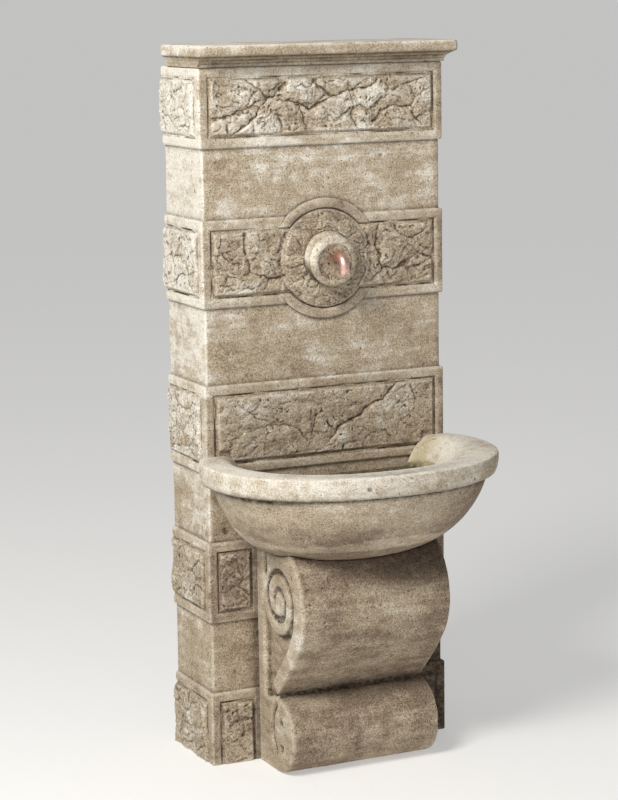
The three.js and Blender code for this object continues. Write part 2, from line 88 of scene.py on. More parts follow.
class ColumnSizes(bpy.types.PropertyGroup):
    plain_width: length("Plain width", "Width of the column between its bands", 0.542)
    plain_depth: length("Plain depth", "Depth of the column between its bands", 0.194)
    band_proud: length("Band proud", "How far a band stands proud of the plain sections", 0.006)
    frame_width: length("Frame width", "Width of the smooth frame round a rough panel", 0.020)
    side_frame: length("Side frame width", "Width of the frame next to the front arris on a side", 0.024)
    pocket: length("Groove depth", "Depth of the groove between frame and panel", 0.005)
    groove: length("Groove width", "Width of the groove between frame and panel", 0.004)
    rock_rise: length("Rock rise", "Highest relief of the split stone over the frame", 0.008)
    arris: length("Arris radius", "Rounding of a band's arrises", 0.004)


class MedallionSizes(bpy.types.PropertyGroup):
    height: length("Height", "Height of the medallion's middle over the ground", 1.057)
    ring_radius: length("Ring radius", "Outer radius of the smooth ring", 0.124)
    disc_radius: length("Disc radius", "Radius of the rough disc", 0.102)
    disc_rise: length("Disc rise", "How far the disc stands proud next to the boss", 0.011)
    boss_radius: length("Boss radius", "Outer radius of the round boss", 0.053)
    boss_length: length("Boss length", "How far the boss stands out of the disc", 0.038)
    dish_radius: length("Dish radius", "Radius of the sunk dish in the boss", 0.041)
    dish_depth: length("Dish depth", "Depth of the sunk dish", 0.008)
    boss_lift: length("Boss lift", "How far the boss's foot sits above the disc's middle", 0.008)


class CopingSizes(bpy.types.PropertyGroup):
    front: length("Front overhang", "How far the nosing stands out of the bands in front", 0.044)
    side: length("Side overhang", "How far the nosing stands out of the bands at each side", 0.013)
    back: length("Back gap", "Distance from the wall to the coping's back", 0.036)
    height: length("Height", "Height of the coping", 0.0447)
    nosing: length("Nosing height", "Height of the rounded nosing", 0.023)


class BasinSizes(bpy.types.PropertyGroup):
    rim_top: length("Rim height", "Height of the rim over the ground", 0.6615)
    rim_height: length("Rim band height", "Height of the rim's band", 0.047)
    half_width: length("Half width", "Half of the basin's width", 0.311)
    back_half: length("Back half width", "Half of the basin's width at the column", 0.283)
    widest: length("Widest place", "Distance from the column to the widest place", 0.095)
    reach: length("Reach", "How far the basin stands out of the column", 0.348)
    rim_width: length("Rim width", "Width of the rim seen from above", 0.058)
    bowl_depth: length("Bowl depth", "Height of the basin from its lowest point to the rim", 0.212)
    wall: length("Wall", "Thickness of the bowl's floor", 0.042)


class ConsoleSizes(bpy.types.PropertyGroup):
    half_width: length("Half width", "Half of the console's width", 0.170)
    web_recess: length("Web recess", "How deep the web of a side lies behind the raised parts", 0.013)
    roll_radius: length("Roll radius", "Radius of the lower roll", 0.080)
    roll_reach: length("Roll reach", "Distance from the column to the lower roll's axis", 0.091)
    scroll_reach: length("Scroll reach", "How far the scroll stands out of the column", 0.226)
    scroll_height: length("Scroll height", "Height of the scroll's furthest point", 0.360)
    volute_radius: length("Volute radius", "Outer radius of the volute", 0.076)
    groove_width: length("Groove width", "Width of the spiral groove", 0.014)
    groove_depth: length("Groove depth", "Depth of the spiral groove", 0.005)


class SpoutSizes(bpy.types.PropertyGroup):
    radius: length("Pipe radius", "Outer radius of the copper elbow", 0.011)
    wall: length("Pipe wall", "Wall of the copper elbow", 0.0016)
    rise: length("Rise", "Height of the pipe's axis over the medallion's middle", 0.006)
    side: length("Side step", "How far the pipe stands to the right of the middle", 0.006)
    reach: length("Reach", "How far the elbow stands out of the dish", 0.036)
    drop: length("Drop", "How far the elbow reaches down from its axis", 0.032)
    bend: length("Bend", "Radius of the elbow's bend", 0.015)


class Finishes(bpy.types.PropertyGroup):
    light_stone: colour("Light stone", "Colour of clean, wind-washed cast stone", "#dcd7cd")
    warm_stone: colour("Warm stone", "Colour of the stone's body", "#ab9e8b")
    dark_stone: colour("Dark stone", "Colour of damp and shaded stone", "#817264")
    grime: colour("Grime", "Colour of the dirt in creases and pits", "#3d3328")
    algae: colour("Algae", "Colour of the greenish stain in the basin", "#b0a67f")
    copper: colour("Copper", "Colour of the copper elbow", "#f2c9bb")
    floor: colour("Floor", "Colour of the floor under the fountain", "#cfcecb")


def props(name):
    return getattr(bpy.context.scene, "fountain_" + name)


def mm(group, *names):
    """One length of a group, or several, in mm."""
    values = [getattr(props(group), name) * 1000 for name in names]
    return values if len(values) > 1 else values[0]


def bands_size():
    """Half the width of the bands, and their depth from the wall."""
    width, depth, proud = mm("column", "plain_width", "plain_depth", "band_proud")
    return width / 2 + proud, depth + proud


# Shared maths


def lerp(a, b, t):
    return a + (b - a) * t


def smooth(t):
    t = np.clip(t, 0, 1)
    return t * t * (3 - 2 * t)


def bell(d, width):
    """1 at no distance, and next to nothing from about twice the width on."""
    return np.exp(-((d / width) ** 2))


def lattice(ix, iy, iz, seed):
    """Repeatable random value from 0 to 1 for whole-number places."""
    h = ix.astype(np.int64) * 374761393 + iy.astype(np.int64) * 668265263
    h = h + iz.astype(np.int64) * 2147483647 + seed * 144665
    h = (h ^ (h >> 13)) * 1274126177
    h = h ^ (h >> 16)
    return (h & 0xFFFFFF).astype(float) / 0xFFFFFF


def wave(points, size, seed=0):
    """Smooth random value from -1 to 1 at each point, with lumps of about the given size in mm."""
    q = np.asarray(points, float) / size + 100
    base = np.floor(q)
    f = smooth(q - base)
    base = base.astype(np.int64)
    total = 0
    for dx in (0, 1):
        for dy in (0, 1):
            for dz in (0, 1):
                w = (f[..., 0] if dx else 1 - f[..., 0]) * (f[..., 1] if dy else 1 - f[..., 1])
                w = w * (f[..., 2] if dz else 1 - f[..., 2])
                total = total + w * lattice(base[..., 0] + dx, base[..., 1] + dy, base[..., 2] + dz, seed)
    return total * 2 - 1


def roughness(points, size, octaves, seed=0):
    total = 0
    for k in range(octaves):
        total = total + wave(points, size / 2**k, seed + k * 17) / 2**k
    return total / 1.6


def spots(points, size, octaves, seed, above, fade):
    """0 to 1, where the roughness rises above a level: pits and chips."""
    return smooth((roughness(points, size, octaves, seed) - above) / fade)


def flat(u, v):
    return np.stack([u, v, np.zeros_like(u)], -1)


def hashed(i, j, seed):
    s = np.sin(i * 127.1 + j * 311.7 + seed * 74.7) * 43758.5453
    return s - np.floor(s)


def rock(u, v, seed, size=62):
    """Flat, tilted chips of split stone of the given size, with sunk joints between them, 0 to 1."""
    a = (u + 0.35 * v) / size
    b = (v - 0.2 * u) / (size * 0.7)
    first = np.full(np.shape(a), 9.0)
    second = first.copy()
    height = np.zeros(np.shape(a))
    for di in (-1, 0, 1):
        for dj in (-1, 0, 1):
            i = np.floor(a) + di
            j = np.floor(b) + dj
            du = a - i - 0.15 - 0.7 * hashed(i, j, seed)
            dv = b - j - 0.15 - 0.7 * hashed(j, i, seed + 5)
            d = np.hypot(du, dv)
            tilt = (hashed(i, j, seed + 9) - 0.5) * du + (hashed(i, j, seed + 13) - 0.5) * dv
            near = d < first
            second = np.where(near, first, np.minimum(second, d))
            height = np.where(near, 0.35 + 0.65 * hashed(i, j, seed + 3) + 0.9 * tilt, height)
            first = np.where(near, d, first)
    joint = np.clip((second - first) / 0.22, 0, 1)
    return np.clip(height * lerp(0.3, 1, joint), 0, 1)


def from_line(u, v, line):
    """Distance of each point from a drawn line, and the side it lies on."""
    best = np.full(np.shape(u), 1e9)
    side = np.zeros(np.shape(u))
    for (u0, v0), (u1, v1) in zip(line, line[1:]):
        du, dv = u1 - u0, v1 - v0
        t = np.clip(((u - u0) * du + (v - v0) * dv) / (du * du + dv * dv), 0, 1)
        d = np.hypot(u - u0 - t * du, v - v0 - t * dv)
        near = d < best
        best = np.where(near, d, best)
        side = np.where(near, np.sign((u - u0) * dv - (v - v0) * du), side)
    return best, side


# Crevices of the front panels by band: places in mm on the face, depth, width, step of one side over the other
CREVICES = {
    "top": [
        ([(-256, 1357), (-235, 1355), (-211, 1361), (-172, 1372), (-151, 1385)], 3.5, 3.5, -2.5),
        (
            [(-202, 1316), (-168, 1339), (-149, 1353), (-141, 1374), (-124, 1390), (-102, 1401), (-84, 1417)],
            6, 4.5, 3.5,
        ),
        ([(-171, 1430), (-148, 1409), (-124, 1395), (-104, 1396)], 5, 4, -2),
        (
            [(-100, 1385), (-71, 1382), (-46, 1375), (-32, 1365), (-2, 1378), (28, 1389), (53, 1400), (98, 1403),
             (128, 1420)],
            4.5, 3, 3,
        ),
        ([(117, 1333), (135, 1355), (168, 1367), (199, 1363), (215, 1338)], 4, 3.5, 3),
        ([(-80, 1383), (-56, 1373), (-47, 1355), (-44, 1333)], 3, 3, 1.5),
        ([(164, 1402), (194, 1409), (226, 1420)], 3.5, 2.5, 2),
        ([(-20, 1432), (-14, 1412), (6, 1400), (18, 1386)], 3.5, 3.5, 1.5),
        ([(60, 1398), (66, 1372), (60, 1350), (72, 1325)], 2.5, 3, 1.5),
    ],
    "eye": [
        ([(-240, 1124), (-236, 1085), (-218, 1062), (-189, 1053)], 3, 4, 2),
        ([(-178, 1124), (-181, 1095), (-174, 1059), (-167, 1038), (-126, 1023), (-92, 1029)], 4, 4, -2),
        ([(-105, 1077), (-96, 1083), (-84, 1067), (-101, 1061)], 2.5, 3, 1),
        ([(125, 1112), (118, 1078), (134, 1035), (155, 1025), (186, 1037)], 4.5, 5, -2.5),
        ([(186, 1037), (214, 1052), (252, 1044)], 3, 4, 2),
        ([(160, 1125), (172, 1096), (205, 1086), (230, 1100)], 3, 4, 2),
    ],
    "mid": [
        ([(157, 775), (132, 749), (103, 736), (64, 714), (35, 701), (10, 678)], 4.5, 3.2, -3.5),
        ([(-25, 732), (-30, 707), (-38, 690)], 3.5, 2.6, 1),
        ([(-39, 736), (-38, 713)], 3, 2.4, 1),
        ([(-170, 707), (-135, 715), (-102, 716), (-75, 708), (-59, 684)], 2.6, 3, 1.6),
        ([(-180, 746), (-161, 733), (-140, 724)], 2.5, 3, 2),
        ([(-3, 715), (13, 695), (35, 701)], 2.5, 2.6, 1),
        ([(111, 668), (117, 681), (134, 682), (145, 670)], 1.8, 3, 0.8),
        ([(196, 775), (205, 745), (196, 715), (170, 700)], 1.6, 4, 1),
    ],
}


def ledges(p, size, count, seed):
    """Irregular steps, as where thin flakes have split off: 0 to 1, flat between sharp edges."""
    f = roughness(p, size, 4, seed) * 0.75 + 0.5
    f = np.clip(f, 0, 0.999) * count
    whole = np.floor(f)
    return (whole + smooth((f - whole - 0.82) / 0.18)) / count


def split_stone(u, v, seed, rise, crevices=(), broken=1.0):
    """Relief of a split stone face in mm over the frame: chips, ledges, grit, and the drawn crevices."""
    p = flat(u, v)
    wu = u + 12 * roughness(p, 38, 3, seed)
    wv = v + 12 * roughness(p, 34, 3, seed + 40)
    chips = rock(wu, wv, seed)
    jag = 2.2 * roughness(p, 7, 2, seed + 44)
    warped = flat(wu * 0.8 + 0.35 * v + jag, wv * 1.25 - 0.3 * u - jag)
    h = rise * lerp(0.4, chips, 0.5 * broken)
    h = h + 6.5 * broken * (ledges(warped, 64, 4, seed + 60) - 0.5)
    h = h + 2.6 * broken * (ledges(warped * 1.3, 30, 3, seed + 90) - 0.5)
    h = h + (0.45 + 0.45 * broken) * roughness(p, 11, 3, seed + 7)
    # Pits lie in patches, with calm stone between them
    h = h - 2.6 * spots(p, 7, 2, seed + 23, 0.42, 0.2) * spots(p, 45, 2, seed + 24, -0.1, 0.3)
    # Thin cracks where flakes have split away
    crack = np.abs(roughness(warped * 0.8, 44, 3, seed + 51))
    h = h - 2.2 * broken * bell(crack, 0.022) * spots(p, 50, 2, seed + 52, 0.05, 0.3)
    for line, depth, width, step in crevices:
        d, side = from_line(u + 5 * roughness(p, 16, 2, seed + 3), v + 5 * roughness(p, 16, 2, seed + 4), line)
        vary = np.clip(0.6 + 0.8 * wave(p, 18, seed + 5), 0.05, 1.4)
        wide = width * np.clip(0.75 + 0.9 * wave(p, 13, seed + 8), 0.35, 2)
        h = h - depth * vary * bell(d, wide) - 0.3 * depth * bell(d, 3.2 * width)
        h = h + step * side * 0.6 * np.exp(-d / 16)
    return np.clip(h, -4.5, rise + 1.5)


# Shared mesh making


def only(obj):
    bpy.ops.object.select_all(action="DESELECT")
    obj.select_set(True)
    bpy.context.view_layer.objects.active = obj


def obj_from(name, points, faces):
    """A piece from points in mm, with the wall at y = 0 and the front looking along -Y."""
    verts = np.asarray(points, float) / 1000
    verts[:, 1] += WALL_Y
    mesh = bpy.data.meshes.new(name)
    mesh.from_pydata(verts.tolist(), [], faces)
    obj = bpy.data.objects.new(name, mesh)
    bpy.context.scene.collection.objects.link(obj)
    only(obj)
    return obj


def outward(obj):
    """Merges doubles and turns every face of a closed mesh outwards."""
    only(obj)
    bpy.ops.object.mode_set(mode="EDIT")
    bpy.ops.mesh.select_all(action="SELECT")
    bpy.ops.mesh.remove_doubles(threshold=1e-6)
    bpy.ops.mesh.normals_make_consistent(inside=False)
    bpy.ops.object.mode_set(mode="OBJECT")
    return obj


def modified(obj, kind, **settings):
    """Adds a modifier with its settings and applies it."""
    only(obj)
    modifier = obj.modifiers.new(kind.title(), kind)
    for key, value in settings.items():
        setattr(modifier, key, value)
    bpy.ops.object.modifier_apply(modifier=modifier.name)


def carve(obj, tool, operation):
    modified(obj, "BOOLEAN", object=tool, operation=operation, solver="MANIFOLD")
    mesh = tool.data
    bpy.data.objects.remove(tool)
    bpy.data.meshes.remove(mesh)


def places(obj):
    """The mesh's points in mm, with the wall at y = 0."""
    mesh = obj.data
    co = np.zeros(len(mesh.vertices) * 3)
    mesh.vertices.foreach_get("co", co)
    co = co.reshape(-1, 3) * 1000
    co[:, 1] -= WALL_Y * 1000
    return co


def set_places(obj, co):
    out = co / 1000
    out[:, 1] += WALL_Y
    obj.data.vertices.foreach_set("co", out.ravel())
    obj.data.update()


def outward_lines(obj):
    n = np.zeros(len(obj.data.vertices) * 3)
    obj.data.vertex_normals.foreach_get("vector", n)
    return n.reshape(-1, 3)


def painted(obj, **layers):
    """Writes values from 0 to 1 at each point, which the stone reads.

    tone is how light the stone is, with painted light and shade as well as damp and washed stone in it, rugged how
    pitted it is, grime how much soiling and painted shade it has, worn how much wear it has, and stain how green
    it is.
    """
    for name, value in layers.items():
        layer = obj.data.attributes.get(name) or obj.data.attributes.new(name, "FLOAT", "POINT")
        value = np.clip(value, 0, 1).astype(np.float32) * np.ones(len(obj.data.vertices), np.float32)
        layer.data.foreach_set("value", value)


def read(obj, name):
    layer = obj.data.attributes[name].data
    values = np.zeros(len(layer), np.float32)
    layer.foreach_get("value", values)
    return values


def add_grime_and_shade(obj, value):
    """Adds painted shade and shadow, and soiling, to what the creases already hold."""
    painted(obj, grime=read(obj, "grime") + value)


def weather(obj, fine=3, broad=14, scale=1.0, gain=1.0):
    """Writes how sunk and how exposed each place is, for the soiling and painted shade in creases and the wear on
    arrises.
    """
    mesh = obj.data
    edges = np.zeros(len(mesh.edges) * 2, int)
    mesh.edges.foreach_get("vertices", edges)
    a, b = edges.reshape(-1, 2).T
    count = len(mesh.vertices)
    links = np.maximum(np.bincount(a, minlength=count) + np.bincount(b, minlength=count), 1)
    start = places(obj)
    normal = outward_lines(obj)
    co = start.copy()
    sunk = []
    for step in range(1, broad + 1):
        mean = [np.bincount(a, co[b, k], count) + np.bincount(b, co[a, k], count) for k in range(3)]
        co = co * 0.4 + 0.6 * np.stack(mean, -1) / links[:, None]
        if step in (fine, broad):
            sunk.append(((co - start) * normal).sum(1) * gain)
    close, wide = sunk
    grime = smooth(close / (0.75 * scale)) * 0.6 + smooth(wide / (2.6 * scale)) * 0.75
    worn = smooth(-close / (0.8 * scale)) * 0.5 + smooth(-wide / (2.8 * scale)) * 0.6
    painted(obj, grime=grime, worn=worn)


def finished(obj, node, material, angle=55):
    """Shades the piece, gives it its stone, and puts it in the place of its solid."""
    only(obj)
    bpy.ops.object.shade_smooth_by_angle(angle=math.radians(angle))
    obj.data.materials.clear()
    obj.data.materials.append(material)
    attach(obj, "root")
    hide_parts(node)


def stepped(breaks):
    """Places from the first break to the last; each break gives a place and the step from there on."""
    out = []
    for (a, step), (b, _) in zip(breaks, breaks[1:]):
        n = max(1, round((b - a) / step))
        out += [lerp(a, b, i / n) for i in range(n)]
    return out + [breaks[-1][0]]


def stations(side_breaks, front_breaks, corner):
    """Kinds and places of the stations along a plan: from the wall up the left side, the front, the right side."""
    side, front = stepped(side_breaks), stepped(front_breaks)
    turn = [i / corner for i in range(1, corner)]
    parts = {"left": side, "turn_left": turn, "front": front, "turn_right": turn, "right": side[::-1]}
    kinds = np.array([kind for kind, part in parts.items() for _ in part])
    return kinds, np.array([t for part in parts.values() for t in part])


def plan_points(kinds, at, half, depth, inset, radius):
    """Places and outward directions of the stations on a rounded plan moved in by an inset."""
    side_end, front_end = depth - radius, half - radius
    h, d = half - inset, depth - inset
    r = max(0.4, radius - inset)
    out, way = [], []
    for kind, t in zip(kinds, at):
        sx = -1 if kind in ("left", "turn_left") else 1
        if kind == "front":
            out.append((t / front_end * (h - r), -d))
            way.append((0, -1))
        elif kind in ("left", "right"):
            out.append((sx * h, -t / side_end * (d - r)))
            way.append((sx, 0))
        else:
            a = t * math.pi / 2
            c, s = (math.cos(a), math.sin(a)) if sx < 0 else (math.sin(a), math.cos(a))
            out.append((sx * (h - r + r * c), -(d - r + r * s)))
            way.append((sx * c, -s))
    return np.array(out), np.array(way)


def strips(rows, n, closed):
    """Faces between rows of n points each; closed rows run round."""
    around = range(n if closed else n - 1)
    return [
        (k * n + i, k * n + (i + 1) % n, k * n + n + (i + 1) % n, k * n + n + i)
        for k in range(rows - 1)
        for i in around
    ]


def skin(name, rows):
    """A closed body from rows that run from the wall round the front and back to the wall."""
    n, m = len(rows[0]), len(rows)
    ends = [list(range(n))[::-1], [(m - 1) * n + i for i in range(n)]]
    wall = [k * n for k in range(m)] + [k * n + n - 1 for k in range(m - 1, -1, -1)]
    return outward(obj_from(name, np.concatenate(rows), strips(m, n, False) + ends + [wall]))


def lofted(name, rings):
    """A closed body from rings of points."""
    n, m = len(rings[0]), len(rings)
    ends = [list(range(n))[::-1], [(m - 1) * n + i for i in range(n)]]
    return outward(obj_from(name, np.concatenate(rings), strips(m, n, True) + ends))


# Column

# Names and heights of the bands in mm, from the ground up
BANDS = [("base", 0, 157), ("low", 308, 479), ("mid", 621, 808), ("eye", 967, 1147), ("top", 1292, 1455)]
# Half the width that the two lowest bands leave free for the console
CONSOLE_CLEAR = 177
# Half the height inside which the medallion's ring lies in the split stone
RING_FREE = 86
# How strongly the split stone is broken up on the fronts that have drawn crevices, and elsewhere
BROKEN = {"mid": 0.55, "top": 1.0, "eye": 0.9}
BROKEN_ELSEWHERE = 0.95
# Half the width and the height below which the stone behind the console's head stays flat
HEAD_HALF, HEAD_LOW = 215, 452
# Line of the chip in the shaft's left arris, across and up
ARRIS_CHIP = [(-237, 503), (-234, 497)]
# Joint between two castings in mm
JOINT = 0.3


def band_heights(n, z0, z1, low, high, r):
    """Heights of a band's rows, each with how far its plan lies inside the band's face."""
    groove = mm("column", "groove")
    breaks = [(z0 + r, 2.6), (low - 1.5, 1.0), (low + groove + 1, 1.5)] if n else [(z0 + r, 1.6), (low, 1.5)]
    breaks += [(low + 12, 1.9), (high - 12, 1.5), (high - groove - 1, 1.0), (high + 1.5, 2.6), (z1 - r, 0)]
    turn = (0.4, 0.8, 1.2)
    heights = [(z0, 12.0), (z0, r)]
    heights += [(z0 + r - r * math.cos(t), r - r * math.sin(t)) for t in turn]
    heights += [(z, 0.0) for z in stepped(breaks)]
    heights += [(z1 - r + r * math.sin(t), r - r * math.cos(t)) for t in turn]
    return heights + [(z1, r), (z1, 12.0)]


def band(n, name, z0, z1):
    half, depth = bands_size()
    frame_w, side_w, groove, pocket, rise, r = mm(
        "column", "frame_width", "side_frame", "groove", "pocket", "rock_rise", "arris"
    )
    rim_top, back_half, rim_w = mm("basin", "rim_top", "back_half", "rim_width")
    eye, ring, disc = mm("medallion", "height", "ring_radius", "disc_radius")
    side_end, front_end = depth - r, half - r
    s_in, f_in = depth - side_w, half - frame_w
    side_breaks = [(0, 2.2), (s_in - 12, 1.5), (s_in - groove - 1, 1.0), (s_in + 1.5, 2.4), (side_end, 1)]
    front_breaks = [(-front_end, 2.4), (-f_in - 1.5, 1.0), (-f_in + groove + 1, 1.5), (-f_in + 12, 1.9)]
    if n < 2:
        clear = CONSOLE_CLEAR
        front_breaks += [(-clear - 10, 1.4), (-clear + 2, 24), (clear - 2, 1.4), (clear + 10, 1.9)]
    front_breaks += [(f_in - 12, 1.5), (f_in - groove - 1, 1.0), (f_in + 1.5, 2.6), (front_end, 1)]
    kinds, at = stations(side_breaks, front_breaks, 5)
    front, left, right = (kinds == kind for kind in ("front", "left", "right"))
    x = np.where(front, at, 0)
    across = np.where(left, at, np.where(right, -at, x))
    # The base band's panels run down to the ground, so its lower bound only serves the rows and the stone's tone
    # and pitting
    low = z0 + frame_w if n else 9.0
    high = z1 - frame_w
    # How far a place lies inside its panel's edges at the sides, and inside the band's own
    within = f_in - np.abs(x)
    if n < 2:
        within = np.minimum(np.abs(x) - CONSOLE_CLEAR, within)
    within = np.where(front, within, np.where(left | right, s_in - at, -9.0))
    to_side = np.where(front, half - np.abs(x), np.where(left | right, depth - at, r))
    # Each face has a seed of its own
    fronts = [(front & (x < 0), 10 + n), (front & (x >= 0), 12 + n)] if n < 2 else [(front, 21 + n)]
    faces = [*fronts, (left, 31 + n), (~front & ~left, 41 + n)]

    def relief(p, z):
        e = np.minimum(within, min(z - low, high - z) if n else high - z)
        outer = np.minimum(min(z - z0, z1 - z) if n else z1 - z, to_side)
        zs = p[:, 2]
        stone = np.zeros(len(at))
        for face, seed in faces:
            drawn = n > 1 and seed == 21 + n
            lines, strength = (CREVICES[name], BROKEN[name]) if drawn else ((), BROKEN_ELSEWHERE)
            stone[face] = split_stone(across[face], zs[face], seed, rise, lines, strength)
        stone = np.where(e < groove + 7, lerp(-2.5, stone, smooth((e - groove) / 7)), stone)
        # Under the basin's ends and behind the console the stone stays behind the frame's face
        if name in ("mid", "low"):
            if name == "mid":
                covered = np.minimum(np.abs(x) - (back_half - rim_w + 2), back_half - np.abs(x))
                free = np.maximum(z - (rim_top + 6), -covered)
            else:
                free = np.maximum(HEAD_LOW - z, np.abs(x) - HEAD_HALF)
            stone = lerp(np.minimum(stone, 0.2), stone, np.where(front, smooth(free / 10), 1.0))
        uneven = pocket * (0.62 + 0.4 * wave(flat(across, zs), 26, 61 + n))
        # A frame is cushioned: highest in the middle, falling towards both arrises
        cushion = -1.5 * bell(np.abs(e), 2.6) - 0.9 * bell(np.maximum(outer, 0), 3.5)
        h = np.where(e < 0, cushion, np.where(e < groove, -uneven, stone))
        if n < 2:
            h = np.where(front & (np.abs(x) < CONSOLE_CLEAR), 0, h)
        if name == "eye":
            out = np.hypot(x, zs - eye)
            # A rough valley where the disc grows out of the split stone
            ragged = 4 * roughness(flat(x, zs), 22, 3, 57)
            valley = 2.8 * bell(out - disc - 3 - ragged, 5.5) * (0.6 + 0.5 * wave(flat(x, zs), 24, 58))
            h = np.where(front & (e >= groove), h - valley, h)
            under = (out < disc - 7) | ((e < groove) & (out < ring))
            h = np.where(front & under, -pocket - 3, h)
        h = h + 0.35 * roughness(p, 60, 3, 3) + 0.18 * roughness(p, 6, 2, 9)
        # Small chips along the arrises
        return h - 2.2 * spots(p, 16, 2, 70 + n, 0.45, 0.25) * bell(np.maximum(outer, 0), 4)

    rows = []
    for z, inset in band_heights(n, z0, z1, low, high, r):
        xy, way = plan_points(kinds, at, half, depth, inset, r)
        p = np.column_stack([xy, np.full(len(at), z)])
        if inset < r:
            p[:, :2] += way * relief(p, z)[:, None]
        p[0, 1] = p[-1, 1] = 0
        rows.append(p)
    obj = skin("band_" + name, rows)
    weather(obj, fine=6, broad=30, gain=1.15)
    q = places(obj)
    inside = np.minimum(q[:, 2] - low, high - q[:, 2])
    # Lighter on the flakes that stand out, darker between them
    proud = np.maximum(-q[:, 1] - depth, np.abs(q[:, 0]) - half)
    flakes = 0.042 * np.clip(proud - 2.5, -5, 6) * smooth((inside - 3) / 5) * (proud > -6)
    tone = column_tone_and_light(q, half) + flakes + (0.11 if name == "top" else 0.0)
    painted(obj, tone=tone, rugged=0.3 + 0.7 * smooth(inside / 4))
    add_grime_and_shade(obj, column_painted_shade(q))
    return obj


def column_tone_and_light(p, half):
    """Painted light and shade: lighter on the left side, where the key light falls, and higher up; painted shade
    low down and at the right arris, and painted shadow that the console casts on the column to its right.
    """
    x, y, z = p.T
    shade = 0.3 + 0.24 * smooth((z - 350) / 800) + 0.1 * bell(z - 730, 90)
    side = smooth((-x - half + 6) / 4) * (0.2 + 0.18 * smooth((z - 300) / 900))
    lee_shadow = smooth((x - 120) / 60) * smooth((600 - z) / 60) * smooth((-y - 150) / 40)
    return shade + side - 0.5 * lee_shadow - 0.26 * smooth((x - half + 18) / 14)


def column_painted_shade(p):
    """Painted shadow that the console casts on the column to its right, painted shade along the console's sides,
    and painted shade where the medallion's ring stands on.
    """
    x, y, z = p.T
    eye, ring = mm("medallion", "height", "ring_radius")
    lee_shadow = smooth((x - 168) / 12) * smooth((345 - z) / 70)
    joint = bell(np.abs(x) - 172, 7) * smooth((470 - z) / 20)
    away = np.hypot(x, z - eye) - ring
    edge = np.where(away > -1, bell(np.maximum(away - 1, 0), 3.5), 0) * smooth((np.abs(z - eye) - RING_FREE) / 3)
    return (1.3 * lee_shadow + 0.7 * joint + 0.75 * edge) * smooth((-y - 180) / 8)


def build_shaft():
    width, depth = mm("column", "plain_width", "plain_depth")
    half, r = width / 2, 5.0
    kinds, at = stations([(0, 5), (depth - r, 1)], [(r - half, 5), (half - r, 1)], 5)
    heights = [1.0]
    for (_, _, z0), (_, z1, _) in zip(BANDS, BANDS[1:]):
        heights += stepped([(z0 - 8, 5), (z1 + 8, 0)])
    heights.append(BANDS[-1][2] - 1.0)
    rows = []
    for z in heights:
        xy, way = plan_points(kinds, at, half, depth, 0, r)
        p = np.column_stack([xy, np.full(len(xy), z)])
        h = 0.7 * roughness(p, 90, 3, 5) + 0.25 * roughness(p, 14, 3, 6) - 0.8 * spots(p, 11, 2, 81, 0.55, 0.15)
        chip, _ = from_line(p[:, 0], p[:, 2], ARRIS_CHIP)
        h = h - np.where(p[:, 1] < -depth + 9, 2.4 * bell(chip, 6), 0)
        p[:, :2] += way * np.minimum(h, 0.9)[:, None]
        # The shaft's back lies just in front of the bands' backs, so that no two faces share a plane
        p[0, 1] = p[-1, 1] = -0.6
        rows.append(p)
    obj = skin("column_shaft", rows)
    weather(obj, scale=0.8)
    q = places(obj)
    add_grime_and_shade(obj, column_painted_shade(q))
    for _, z0, z1 in BANDS:
        gap = np.minimum(np.abs(q[:, 2] - z0), np.abs(q[:, 2] - z1))
        add_grime_and_shade(obj, 0.75 * np.exp(-((gap / 4.5) ** 1.2)))
    painted(obj, tone=column_tone_and_light(q, half) + 0.03, rugged=0.45)
    return obj


def medallion_profile(disc, ring, rise, top, soft):
    """Radius and height over the band's face, from the dish's middle out to the ring's foot."""
    boss_r, dish_r, dish_d = mm("medallion", "boss_radius", "dish_radius", "dish_depth")
    profile = [(0.01, top - dish_d)]
    for i in range(1, 15):
        a = (1 - i / 15) * math.pi / 2
        profile.append((dish_r * math.cos(a), top - dish_d * math.sin(a)))
    for i in range(15):
        a = lerp(1.25, -0.5, i / 14) * math.pi / 2
        profile.append((boss_r - soft + soft * math.cos(a), top - soft + soft * math.sin(a)))
    for t in (0.3, 0.6, 0.85, 1.0):
        profile.append((boss_r - 2.4 + 2.6 * t * t, lerp(top - soft * 1.75, rise + 0.5, t)))
    for i in range(1, 29):
        t = i / 28
        profile.append((lerp(boss_r + 0.8, disc - 1.5, t), rise * math.sin(math.pi * (0.12 + 0.4 * (1 - t)))))
    groove = ((-0.3, 0.8), (0, -1.5), (0.6, -3.6), (1.8, -3.8), (2.8, -2), (3.8, -0.6))
    profile += [(disc + out, h) for out, h in groove]
    for i in range(1, 9):
        t = i / 8
        profile.append((disc + 4 + (ring - disc - 4) * t, -0.4 + 2.2 * math.sin(math.pi * t) ** 0.7))
    return profile + [(ring + out, h) for out, h in ((0.9, -1.2), (1.5, -2.6), (1.6, -5), (1.7, -14))]


